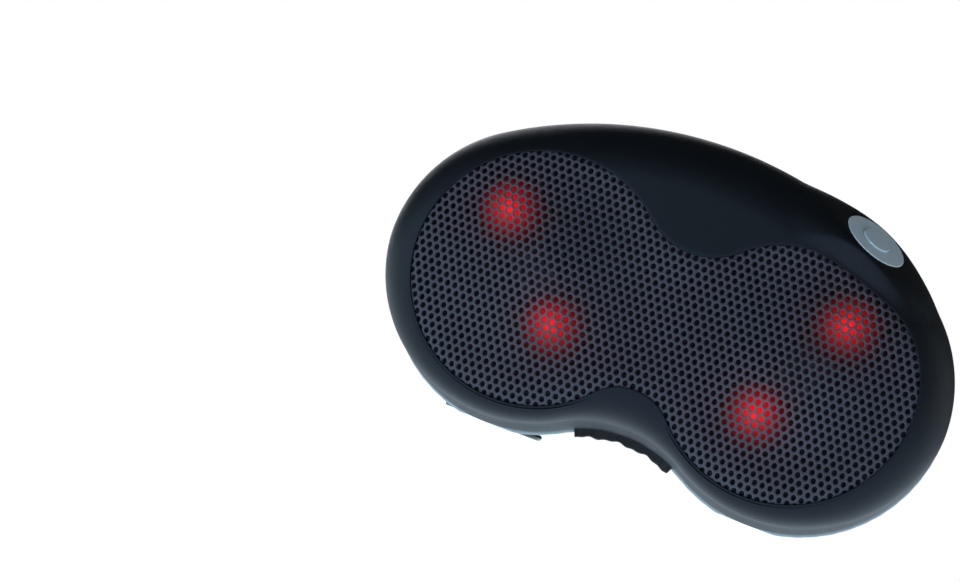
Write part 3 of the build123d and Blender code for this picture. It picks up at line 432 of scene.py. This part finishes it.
BY_SLOT = {
    "cover_fabric": BLACK_FABRIC, "mesh_fabric": MESH_FABRIC, "liner_fabric": FOAM, "padding": FOAM,
    "piping": PIPING, "tab_ribbon": RIBBON, "shell_leather": LEATHERETTE, "webbing": WEB,
    "buckle_plastic": BUCKLE,
    "bezel_plastic": PALE_PLASTIC, "button_plastic": PALE_PLASTIC, "chassis_plastic": DARK_PLASTIC,
    "gear_plastic": ACETAL, "lamp": LAMP, "circuit_board": BOARD, "component_body": PARTS, "steel": STEEL,
    "zinc_steel": ZINC, "bronze": BRONZE, "magnet": MAGNET, "copper_ring": COPPER, "lead_jacket": CABLE,
}


GLOW_COLOUR = (0.10, 0.004, 0.004)
GLOW_STRENGTH = 3.8
GLOW_REACH = 0.0235                     # metres from a head's axis to where its glow ends


def dress_cad_nodes():
    """Every CAD node takes the finish of its material slot; the heads glow round their own axes."""
    for part in frame["record"]["subparts"]:
        obj = frame["nodes"][part["node"]]
        obj.data.materials.clear()
        if part["material_slot"] == "head_plastic":
            low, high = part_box(part["node"])
            centre = ((low.x + high.x) / 2, (low.z + high.z) / 2)
            finish = glowing("glow_" + part["node"], centre, GLOW_COLOUR, GLOW_STRENGTH, GLOW_REACH)
            obj.data.materials.append(finish)
        else:
            obj.data.materials.append(BY_SLOT[part["material_slot"]])


# ---------------------------------------------------------------- camera, light and stage
TARGET = Vector((0, 0, 0.08765))
CAMERA_AZIMUTH = math.radians(4.6)
CAMERA_ELEVATION = math.radians(-3.03)
CAMERA_ROLL = math.radians(21.3)
CAMERA_DISTANCE = 1.429
LENS = 90.2
AIM_LEFT = math.radians(4.47)           # the pillow sits right of and below the middle of the picture
AIM_UP = math.radians(1.04)


def make_camera():
    back = Vector((
        math.sin(CAMERA_AZIMUTH) * math.cos(CAMERA_ELEVATION),
        -math.cos(CAMERA_AZIMUTH) * math.cos(CAMERA_ELEVATION),
        math.sin(CAMERA_ELEVATION),
    ))
    right = Vector((0, 0, 1)).cross(back).normalized()
    up = back.cross(right)
    turned_right = right * math.cos(CAMERA_ROLL) + up * math.sin(CAMERA_ROLL)
    turned_up = up * math.cos(CAMERA_ROLL) - right * math.sin(CAMERA_ROLL)
    straight = Matrix((turned_right, turned_up, back)).transposed()
    offset = Vector((math.tan(AIM_LEFT), -math.tan(AIM_UP), -1)).normalized()
    swing = offset.rotation_difference(Vector((0, 0, -1))).to_matrix()
    data = bpy.data.cameras.new("camera")
    data.lens = LENS
    data.sensor_width = 36.0
    data.clip_start = 0.01
    camera = bpy.data.objects.new("camera", data)
    bpy.context.scene.collection.objects.link(camera)
    camera.matrix_world = Matrix.Translation(TARGET + back * CAMERA_DISTANCE) @ (straight @ swing).to_4x4()
    bpy.context.scene.camera = camera


def area_light(name, place, target, size, energy, colour):
    data = bpy.data.lights.new(name, "AREA")
    data.size = size
    data.energy = energy
    data.color = colour
    light = bpy.data.objects.new(name, data)
    bpy.context.scene.collection.objects.link(light)
    light.location = place
    light.rotation_mode = "QUATERNION"
    light.rotation_quaternion = (Vector(target) - Vector(place)).to_track_quat("-Z", "Y")
    return light


HEADS = ("head_left_upper", "head_left_lower", "head_right_upper", "head_right_lower")
HEAD_LIGHT_DEPTH = 0.0855


def head_light(head):
    """The red light of a lamp on the mesh threads round it; it goes round with its carrier."""
    data = bpy.data.lights.new("lamp_" + head, "POINT")
    data.energy = 0.015
    data.color = (1.0, 0.04, 0.05)
    data.shadow_soft_size = 0.004
    light = bpy.data.objects.new("lamp_" + head, data)
    bpy.context.scene.collection.objects.link(light)
    low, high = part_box(head)
    light.parent = frame["bodies"]["left_carrier" if "left" in head else "right_carrier"]
    light.location = ((low.x + high.x) / 2, -HEAD_LIGHT_DEPTH, (low.z + high.z) / 2)
    light.visible_camera = False


def make_stage():
    world = bpy.data.worlds.new("world")
    bpy.context.scene.world = world
    world.use_nodes = True
    nodes, links = world.node_tree.nodes, world.node_tree.links
    background = nodes["Background"]
    background.inputs["Color"].default_value = (1, 1, 1, 1)
    path = nodes.new("ShaderNodeLightPath")
    level = nodes.new("ShaderNodeMapRange")
    level.inputs["To Min"].default_value = 0.06
    level.inputs["To Max"].default_value = 1.0
    links.new(path.outputs["Is Camera Ray"], level.inputs["Value"])
    links.new(level.outputs["Result"], background.inputs["Strength"])

    floor_mat = material("pale_floor", (0.02, 0.02, 0.02), 0.9, "noise", 30, 0.0, variation=0.01)
    shader = floor_mat.node_tree.nodes["Principled BSDF"]
    shader.inputs["Emission Color"].default_value = (0.74, 0.88, 1.0, 1)
    shader.inputs["Emission Strength"].default_value = 1.4
    shader.inputs["Specular IOR Level"].default_value = 0.0
    half = 6000.0
    floor = make_object("floor", [(-half, -half, 0), (half, -half, 0), (half, half, 0), (-half, half, 0)],
                        [(0, 1, 2, 3)], body=None, material=floor_mat, smooth=False)
    area_light("front_low", (-1.0, -0.85, 0.14), (0, 0, 0.05), 0.5, 6.5, (0.78, 0.88, 1.0))
    area_light("front_top", (0.5, -0.9, 0.7), (0, 0, 0.1), 0.6, 0.6, (1.0, 1.0, 1.0))
    area_light("back_top", (-0.5, 1.1, 0.5), (0, 0, 0.1), 0.9, 8.0, (0.93, 0.95, 1.0))
    area_light("side", (1.1, 0.3, 0.4), (0, 0, 0.1), 0.6, 1.5, (1.0, 1.0, 1.0))
    for head in HEADS:
        head_light(head)
    bpy.context.scene.view_settings.view_transform = "Standard"


# ---------------------------------------------------------------- captive lead
LEAD_ROUTE = [
    (-138.0, 27.2, 81.15), (-147.0, 27.2, 81.15), (-155.6, 28.4, 77.2), (-162.0, 30.0, 70.2),
    (-165.0, 31.8, 61.2), (-164.0, 33.8, 51.6), (-159.6, 36.0, 41.2), (-152.6, 38.2, 31.2),
    (-143.4, 40.6, 21.8), (-132.2, 43.0, 13.4), (-119.4, 45.2, 6.6), (-104.6, 47.0, 2.6),
    (-88.0, 49.0, 2.1), (-71.6, 54.4, 2.1), (-60.0, 66.4, 2.1), (-57.4, 82.2, 2.1),
    (-65.2, 95.6, 2.3), (-78.4, 101.6, 3.4), (-91.0, 102.4, 5.5),
]
LEAD_R = 2.0


def make_lead():
    curve = bpy.data.curves.new("lead", "CURVE")
    curve.dimensions = "3D"
    curve.bevel_depth = LEAD_R * MM
    curve.bevel_resolution = 6
    curve.resolution_u = 16
    curve.use_fill_caps = True
    spline = curve.splines.new("NURBS")
    spline.points.add(len(LEAD_ROUTE) - 1)
    for point, place in zip(spline.points, LEAD_ROUTE):
        point.co = (*[c * MM for c in place], 1)
    spline.order_u = 3
    spline.use_endpoint_u = True
    lead = bpy.data.objects.new("lead", curve)
    bpy.context.scene.collection.objects.link(lead)
    curve.materials.append(CABLE)
    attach(lead, root)
    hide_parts("dc_lead")


# ---------------------------------------------------------------- the power button's place
top_reach = (LOBE_X**2 + TOP_RISE**2 - LOBE_R**2) / (2 * (TOP_RISE - LOBE_R))
button_turn = math.asin(BUTTON_X / top_reach)
BUTTON_NORMAL = np.array([
    math.sin(button_turn) * math.cos(BUTTON_LEAN),
    -math.sin(BUTTON_LEAN),
    math.cos(button_turn) * math.cos(BUTTON_LEAN),
])
BUTTON_ALONG = np.array([math.cos(button_turn), 0, -math.sin(button_turn)])
shoulder_reach = top_reach - SHOULDER_R * (1 - math.cos(BUTTON_LEAN))
BUTTON_SPOT = np.array([
    shoulder_reach * math.sin(button_turn),
    -(FACE_DEPTH - SHOULDER_R) - SHOULDER_R * math.sin(BUTTON_LEAN),
    LOBE_Z + TOP_RISE - top_reach + shoulder_reach * math.cos(button_turn),
])


def button_frame(points):
    """Height above the bezel's plane and distance from its axis, for points in mm."""
    local = points - BUTTON_SPOT
    height = local @ BUTTON_NORMAL
    flat = local - height[:, None] * BUTTON_NORMAL
    return height, np.linalg.norm(flat, axis=1)


# ---------------------------------------------------------------- front cover
COVER_STATIONS = 420
COVER_RINGS = 44
WALL_RINGS = 10
COVER_WALL = 2.0
DRAFT = 4.5                             # the lower wall draws in by this much, so the piping shows


def panel_distance(points, normals):
    """How far inwards from each outline point its normal meets the panel's edge."""
    steps = np.arange(0, 90, 0.25)
    x = points[:, :1] - normals[:, :1] * steps
    z = points[:, 1:] - normals[:, 1:] * steps
    inside = panel_inset(x, z) >= 0
    inside &= np.hypot(x, z) < 200
    first = inside.argmax(axis=1)
    here, before = steps[first], steps[np.maximum(first - 1, 0)]
    rows = np.arange(len(points))
    a = panel_inset(x, z)[rows, np.maximum(first - 1, 0)]
    b = panel_inset(x, z)[rows, first]
    return before + (here - before) * np.clip(-a / np.maximum(b - a, 1e-6), 0, 1)


def make_cover():
    points, normals = pillow.loop(COVER_STATIONS)
    reach = panel_distance(points, normals)
    low_side = np.maximum(-normals[:, 1], 0) ** 1.3
    rings = []
    for k in range(WALL_RINGS):
        share = k / WALL_RINGS
        depth = SEAM_HALF + (FACE_DEPTH - SHOULDER_R - SEAM_HALF) * share
        tuck = -1.0 * (1 - smooth_step(depth, SEAM_HALF, SEAM_HALF + 5))
        swell = 0.8 * math.sin(math.pi * share)
        at = points + normals * (swell + tuck - DRAFT * low_side * smooth_step(share, -0.1, 1.0))[:, None]
        rings.append(to_world(at[:, 0], np.full(len(at), depth), at[:, 1]))
    for k in range(COVER_RINGS):
        share = k / (COVER_RINGS - 1)
        inset = reach * (1 - math.cos(share * math.pi / 2))
        at = points - normals * inset[:, None]
        depth = front_depth(at[:, 0], at[:, 1]) + 0.35 * share
        at = at - normals * (DRAFT * low_side * (1 - smooth_step(share, 0.0, 0.9)))[:, None]
        rings.append(to_world(at[:, 0], depth, at[:, 1]))
    for further, drop in ((0.35, 0.15), (0.6, 0.6), (0.6, 1.3), (0.2, 2.0)):
        at = points - normals * (reach + further)[:, None]
        rings.append(to_world(at[:, 0], front_depth(at[:, 0], at[:, 1]) + 0.35 - drop, at[:, 1]))
    vertices = np.concatenate(rings)
    faces = ring_faces(len(rings), COVER_STATIONS)
    cover = make_object("cover", vertices, faces, slot="cover_fabric", material=BLACK_FABRIC)
    shape_round_button(cover)
    outward(cover)
    thick = cover.modifiers.new("thickness", "SOLIDIFY")
    thick.thickness = COVER_WALL * MM
    thick.offset = -1
    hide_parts("front_cover")
    return cover


RIM_LIFT = 0.75                         # height of the cover's rim on the bezel's side


def shape_round_button(cover):
    """Lift the cover to the bezel's rim, and open it under the bezel."""
    work = bmesh.new()
    work.from_mesh(cover.data)
    for reach in (40.0, 27.0):
        height, radial = button_frame(np.array([v.co for v in work.verts]) / MM)
        near = {i for i in range(len(height)) if radial[i] < reach and height[i] > -25}
        work.verts.index_update()
        edges = [e for e in work.edges if e.verts[0].index in near and e.verts[1].index in near]
        bmesh.ops.subdivide_edges(work, edges=edges, cuts=1, use_grid_fill=True, smooth=0.0)
    for v in work.verts:
        co = np.array([v.co]) / MM
        height, radial = button_frame(co)
        if radial[0] > 60 or height[0] < -30:
            continue
        along = abs(float((co[0] - BUTTON_SPOT) @ BUTTON_ALONG)) / max(radial[0], 1e-6)
        weight = 1 - float(smooth_step(radial, BEZEL_R + 0.6, BEZEL_R + 13 + 24 * along**2)[0])
        edge = -panel_inset(co[:, 0], co[:, 2] - LOBE_Z)
        weight *= float(smooth_step(edge, 0.5, 7.0)[0])
        lifted = height[0] * (1 - weight) + RIM_LIFT * weight
        if lifted > height[0]:
            v.co += Vector(BUTTON_NORMAL * (lifted - height[0]) * MM)
    gone = []
    for face in work.faces:
        height, radial = button_frame(np.array([face.calc_center_median()]) / MM)
        if radial[0] < BEZEL_R - 0.7 and height[0] > -20:
            gone.append(face)
    bmesh.ops.delete(work, geom=gone, context="FACES")
    work.to_mesh(cover.data)
    work.free()


# ---------------------------------------------------------------- hexagon mesh panel
ROW_STRETCH = 1.06


def make_mesh_panel():
    row_step = PITCH * math.sqrt(3) / 2 * ROW_STRETCH
    centres = []
    for j in range(-22, 23):
        for i in range(-36, 37):
            centres.append(((i + 0.5 * (j % 2)) * PITCH, j * row_step))
    centres = np.array(centres)
    centres = centres[panel_inset(centres[:, 0], centres[:, 1]) > -2.4]
    centres = centres[np.hypot(centres[:, 0], centres[:, 1]) < 160]
    corner_r = PITCH / math.sqrt(3)
    angles = np.radians(90 + 60 * np.arange(6))
    corners = np.c_[np.cos(angles) * corner_r, np.sin(angles) * corner_r * ROW_STRETCH]
    middles = (corners + np.roll(corners, -1, axis=0)) / 2
    outer = np.empty((12, 2))
    outer[0::2], outer[1::2] = corners, middles
    round_angles = np.radians(90 + 30 * np.arange(12))
    hole = np.c_[np.cos(round_angles) * HOLE_R, np.sin(round_angles) * HOLE_R * 1.16]
    shoulder = outer * 0.55 + hole * 0.45
    wall = hole * 1.02
    under = outer * 0.7 + hole * 0.3
    rings = [(outer, 0.42), (shoulder, 0.30), (hole, -0.10), (wall, -0.55), (under, -0.80), (outer, -0.85)]
    flat, lift = [], []
    for ring, height in rings:
        flat.append(centres[:, None, :] + ring[None])
        lift.append(np.full((len(centres), 12), height))
    flat = np.stack(flat, axis=1).reshape(-1, 2)
    lift = np.stack(lift, axis=1).reshape(-1)
    tuck = 1.3 * (1 - smooth_step(panel_inset(flat[:, 0], flat[:, 1]), 0.0, 4.0))
    keys = np.round(np.c_[flat, lift[:, None]] * 50).astype(int)
    _, first, where = np.unique(keys, axis=0, return_index=True, return_inverse=True)
    where = where.ravel()
    x, z = flat[first, 0], flat[first, 1]
    depth = front_depth(x, z) + lift[first] - tuck[first]
    vertices = to_world(x, depth, z)
    faces = []
    block = len(rings) * 12
    for c in range(len(centres)):
        base = c * block
        for r in range(len(rings) - 1):
            for k in range(12):
                m = (k + 1) % 12
                quad = (where[base + r * 12 + k], where[base + r * 12 + m],
                        where[base + (r + 1) * 12 + m], where[base + (r + 1) * 12 + k])
                faces.append(quad)
    obj = make_object("mesh_front", vertices, faces, slot="mesh_fabric", material=MESH_FABRIC)
    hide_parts("mesh_panel")
    return obj


PADDING_OPENING = 66.0                  # wide enough that its slanting wall clears the turning heads


def make_padding():
    """Black foam behind the mesh, open over each pair of heads."""
    step = 3.0
    xs = np.arange(-160, 160 + step, step)
    zs = np.arange(-88, 112 + step, step)
    gx, gz = np.meshgrid(xs, zs, indexing="ij")
    for side in (-1, 1):
        dx, dz = gx - side * LOBE_X, gz - (WHEEL_Z - LOBE_Z)
        r = np.hypot(dx, dz)
        near = np.abs(r - PADDING_OPENING) < step * 0.7
        gx = np.where(near, side * LOBE_X + dx / r * PADDING_OPENING, gx)
        gz = np.where(near, (WHEEL_Z - LOBE_Z) + dz / r * PADDING_OPENING, gz)
    keep = (pillow.inset(gx, gz) > 6.0) & (panel.inset(gx, gz) > -9.0)
    for side in (-1, 1):
        keep &= np.hypot(gx - side * LOBE_X, gz - (WHEEL_Z - LOBE_Z)) > PADDING_OPENING - 0.5
    _, radial = button_frame(to_world(gx, front_depth(gx, gz), gz).reshape(-1, 3))
    keep &= radial.reshape(gx.shape) > BEZEL_R + 6
    index = -np.ones(gx.shape, int)
    index[keep] = np.arange(keep.sum())
    vertices = to_world(gx[keep], front_depth(gx[keep], gz[keep]) - 4.2, gz[keep])
    faces = []
    for i in range(gx.shape[0] - 1):
        for j in range(gx.shape[1] - 1):
            quad = (index[i, j], index[i + 1, j], index[i + 1, j + 1], index[i, j + 1])
            if min(quad) >= 0:
                faces.append(quad)
    obj = make_object("padding", vertices, faces, slot="padding", material=FOAM)
    thick = obj.modifiers.new("thickness", "SOLIDIFY")
    thick.thickness = 14 * MM
    thick.offset = -1
    outward(obj)
    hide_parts("foam_pad")
    return obj


LINER_COVER = 0.72                      # share of light that the knit stops


def make_liner():
    """Thin dark knit just behind the mesh, which the lit heads show through."""
    step = 4.0
    gx, gz = np.meshgrid(np.arange(-156, 157, step), np.arange(-80, 81, step), indexing="ij")
    keep = panel_inset(gx, gz) > -6.0
    index = -np.ones(gx.shape, int)
    index[keep] = np.arange(keep.sum())
    vertices = to_world(gx[keep], front_depth(gx[keep], gz[keep]) - 2.4, gz[keep])
    faces = []
    for i in range(gx.shape[0] - 1):
        for j in range(gx.shape[1] - 1):
            quad = (index[i, j], index[i + 1, j], index[i + 1, j + 1], index[i, j + 1])
            if min(quad) >= 0:
                faces.append(quad)
    knit = material("liner_knit", (0.006, 0.007, 0.014), 0.9, "weave", 1800, 0.3, 0.0002, 0.2)
    knit.node_tree.nodes["Principled BSDF"].inputs["Alpha"].default_value = LINER_COVER
    obj = make_object("liner", vertices, faces, slot="liner_fabric", material=knit)
    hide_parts("inner_liner")
    return obj


# ---------------------------------------------------------------- seam: piping and tab
def make_seam():
    points, normals = pillow.loop(720)
    stations = np.arange(720)
    radius = BEAD_R * (1 + 0.035 * np.sin(stations * 2 * math.pi * 90 / 720))
    centre = points - normals * 0.5
    centre[:, 1] = np.maximum(centre[:, 1], BEAD_R * 1.03 - LOBE_Z)
    bead = tube("piping", centre, normals, radius, slot="piping", material=PIPING)
    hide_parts("edge_piping")

    half = 31.0
    low_centre, low_reach, _ = pillow.arcs[1]
    span = math.asin(half / abs(low_reach))
    rows, columns = 220, 9
    turn = np.linspace(-span, span, rows)
    rib = np.abs(np.sin(turn / (2 * span) * math.pi * 13)) ** 0.35
    hang = np.linspace(-0.6, 1, columns)
    drop = 4.6 + 0.5 * np.sin(turn * 23) + 0.35 * np.sin(turn * 51 + 1)
    middle = np.empty((rows, columns, 3))
    for c, share in enumerate(hang):
        radius = abs(low_reach) - drop * share
        x = np.sin(turn) * radius
        z = low_centre + np.cos(turn) * radius
        depth = SEAM_HALF + 1.15 + 0.5 * max(share, 0) + 0 * turn
        middle[:, c] = to_world(x, depth, z)
    relief = np.repeat((rib * 0.55 - 0.3)[:, None], columns, axis=1)
    tab = grid_solid("ribbed_tab", middle, 1.3, relief, slot="tab_ribbon", material=RIBBON)
    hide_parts("seam_tab")


# ---------------------------------------------------------------- back shell
def make_back():
    points, normals = pillow.loop(360)
    rings = []
    rim = [(0.2, 1.9), (-0.25, 2.4), (-0.35, 3.4), (0.0, 4.0), (1.3, 4.2), (1.7, 4.7), (1.1, 5.2)]
    for inset, depth in rim:
        at = points - normals * inset
        rings.append(to_world(at[:, 0], np.full(len(at), -depth), at[:, 1]))
    shares = np.linspace(0.0, 1.0, 26)[1:]
    for share in shares:
        inset = 1.0 + (BACK_EDGE - 1.0) * share**1.7
        at = points - normals * inset
        rings.append(to_world(at[:, 0], -back_depth(at[:, 0], at[:, 1]), at[:, 1]))
    spine = []
    for p, n in zip(points, normals):
        at = p - n * BACK_EDGE
        spine.append((np.clip(at[0], -LOBE_X, LOBE_X), 0.5 * at[1] + 6.0))
    spine = np.array(spine)
    inner = points - normals * BACK_EDGE
    for share in (0.35, 0.7, 1.0):
        at = inner + (spine - inner) * share
        rings.append(to_world(at[:, 0], np.full(len(at), -BACK_DEPTH), at[:, 1]))
    vertices = np.concatenate(rings)
    vertices[:, 2] = np.maximum(vertices[:, 2], 0.0)
    faces = ring_faces(len(rings), 360)
    start = (len(rings) - 1) * 360
    faces.append(tuple(range(start + 359, start - 1, -1)))
    shell = make_object("shell", vertices, faces, slot="shell_leather", material=LEATHERETTE)
    outward(shell)
    thick = shell.modifiers.new("thickness", "SOLIDIFY")
    thick.thickness = 2 * MM
    thick.offset = -1
    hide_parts("back_shell")
    return shell


# ---------------------------------------------------------------- strap
WEAVE_LONG = 1.5
WEAVE_CROSS = 1.9
WEB_COLUMNS = 61


def rounded(points, passes=4):
    """Corner-cut a polyline into a smooth one, keeping its ends."""
    line = np.array(points, float)
    for _ in range(passes):
        q = line[:-1] * 0.75 + line[1:] * 0.25
        r = line[:-1] * 0.25 + line[1:] * 0.75
        line = np.concatenate([line[:1], np.stack([q, r], axis=1).reshape(-1, line.shape[1]), line[-1:]])
    return line


def evenly(line, step):
    """Resample a polyline at even steps."""
    length = np.concatenate([[0], np.cumsum(np.linalg.norm(np.diff(line, axis=0), axis=1))])
    stations = np.linspace(0, length[-1], max(int(length[-1] / step), 2))
    return np.stack([np.interp(stations, length, line[:, k]) for k in range(line.shape[1])], axis=1)


def weave(rows, columns, row_step, column_step):
    """Relief of coarse webbing, lower at its selvedges."""
    along = np.arange(rows)[:, None] * row_step
    across = np.arange(columns)[None] * column_step
    relief = 0.26 * np.sin(math.pi * along / WEAVE_LONG) * np.cos(math.pi * across / WEAVE_CROSS)
    edge = np.minimum(np.arange(columns), np.arange(columns)[::-1])
    return relief - 0.35 * np.clip(1 - edge / 2.0, 0, 1)[None]


def webbing_piece(name, route, body, node=None, thickness=WEBBING, width=STRAP_WIDTH, twist=None):
    """Webbing across Z that follows an (x, y) route in mm."""
    line = evenly(rounded(route), 0.6)
    across = np.linspace(-width / 2, width / 2, WEB_COLUMNS)
    middle = np.empty((len(line), WEB_COLUMNS, 3))
    middle[..., 0] = line[:, :1]
    middle[..., 1] = line[:, 1:2]
    middle[..., 2] = STRAP_Z + across[None]
    if twist is not None:
        middle = twist(middle)
    relief = weave(len(line), WEB_COLUMNS, 0.6, width / (WEB_COLUMNS - 1))
    obj = grid_solid(name, middle, thickness, relief, body=body, slot="webbing", material=WEB)
    if node:
        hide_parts(node)
    return obj


def band_on_shell(name, side, inner_x, body=root):
    """Webbing from the seam at one end, over the shell's edge, to inner_x."""
    heights = np.linspace(-STRAP_WIDTH / 2, STRAP_WIDTH / 2, WEB_COLUMNS) + STRAP_Z - LOBE_Z
    end_x = LOBE_X + np.sqrt(LOBE_R**2 - heights**2)
    wall = np.linspace(2.2, 6.5, 8)
    rows = 330 if side > 0 else 150
    middle = []
    for y in wall:
        bulge = 0.2 + 0.8 * math.sin(math.pi * (y - 2.2) / 9)
        middle.append(np.c_[side * (end_x + bulge), np.full(WEB_COLUMNS, y), heights + LOBE_Z])
    share = np.linspace(0, 1, rows) ** 1.15
    for s in share[1:]:
        x = end_x + 0.6 - (end_x + 0.6 - side * inner_x) * s
        y = back_depth(np.minimum(x, end_x - 0.01), heights) + 0.3 + WEBBING / 2
        y = np.maximum(y, 6.6)
        middle.append(np.c_[side * x, y, heights + LOBE_Z])
    middle = np.array(middle)
    relief = weave(len(middle), WEB_COLUMNS, 0.62, STRAP_WIDTH / (WEB_COLUMNS - 1))
    return grid_solid(name, middle, WEBBING, relief, body=body, slot="webbing", material=WEB)


LAY = BACK_DEPTH + 0.3 + WEBBING / 2
SEWN_LAY = LAY + 1.9                    # the turned-back layer, sewn on top of the first


def make_strap():
    long_band = band_on_shell("strap_band", 1, -12.0)
    hoop_x = -40.5
    loop_route = [
        (-12.5, LAY), (hoop_x + 1, LAY), (hoop_x - 1.2, LAY + 1.5), (hoop_x - 1.2, 31.6),
        (hoop_x + 1.5, 33.2), (hoop_x + 10, 32.6), (hoop_x + 18, LAY + 3.2), (hoop_x + 24, SEWN_LAY),
        (hoop_x + 46, SEWN_LAY),
    ]
    webbing_piece("strap_loop", loop_route, root)
    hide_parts("strap_fixed")

    lower = band_on_shell("strap_short", -1, 85.0)
    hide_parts("strap_lower")
    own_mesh(lower)

    def droop(middle):
        """The free end leans and curls a little."""
        reach = np.clip((-middle[..., 0] - 112) / 47, 0, 1)
        across = middle[..., 2] - STRAP_Z
        middle[..., 1] += 0.10 * across * reach**1.5
        middle[..., 2] -= 2.5 * reach**2
        return middle

    tail_route = [
        (-86.5, 25.6), (-86.5, 32.7), (-98.5, 32.7), (-98.5, 28.4), (-106, 28.2), (-116, 28.9), (-128, 32.0),
        (-140, 38.5), (-151, 48.0), (-158, 60.0),
    ]
    webbing_piece("strap_end", tail_route, "buckle_release_part", "strap_tail", twist=droop)
    hem_route = [(-151.4, 46.0), (-154.6, 50.8), (-157.3, 56.0), (-159.6, 60.6)]
    hem_route = [(x - 1.15, y + 0.75) for x, y in hem_route]
    webbing_piece("strap_hem", hem_route, "buckle_release_part", twist=droop)
    make_stitches()


# one stitch, 2 mm long: its two ends and the four corners near each of them, as (along, out, up)
STITCH_POINTS = (
    (-1.0, 0, 0),
    (-0.5, 0.3, 0), (-0.5, 0, 0.28), (-0.5, -0.3, 0), (-0.5, 0, -0.28),
    (0.5, 0.3, 0), (0.5, 0, 0.28), (0.5, -0.3, 0), (0.5, 0, -0.28),
    (1.0, 0, 0),
)
STITCH_ENDS = ((0, 2, 1), (0, 3, 2), (0, 4, 3), (0, 1, 4), (9, 5, 6), (9, 6, 7), (9, 7, 8), (9, 8, 5))


def make_stitches():
    """Box stitch that holds the turned-back webbing of the loop."""
    y = SEWN_LAY + WEBBING / 2 + 0.25
    left, right = -11.0, 3.0
    low, high = STRAP_Z - 15.5, STRAP_Z + 15.5
    corners = [(left, low), (right, low), (right, high), (left, high)]
    lines = [(corners[k], corners[(k + 1) % 4]) for k in range(4)]
    lines += [(corners[0], corners[2]), (corners[1], corners[3])]
    vertices, faces = [], []
    for (x0, z0), (x1, z1) in lines:
        length = math.hypot(x1 - x0, z1 - z0)
        count = int(length / 2.6)
        ux, uz = (x1 - x0) / length, (z1 - z0) / length
        for k in range(count):
            middle = (k + 0.5) * length / count
            base = len(vertices)
            for along, out, up in STITCH_POINTS:
                x = x0 + ux * (middle + along) - uz * out
                z = z0 + uz * (middle + along) + ux * out
                vertices.append((x, y + up, z))
            for a, b, c in STITCH_ENDS:
                faces.append((base + a, base + b, base + c))
            for a in range(4):
                b = (a + 1) % 4
                faces.append((base + 1 + a, base + 1 + b, base + 5 + b, base + 5 + a))
    box = make_object("box_stitch", vertices, faces, slot="webbing", material=THREAD)
    outward(box)


# ---------------------------------------------------------------- build
make_camera()
make_stage()
dress_cad_nodes()
make_lead()
make_cover()
make_mesh_panel()
make_padding()
make_liner()
make_seam()
make_back()
make_strap()
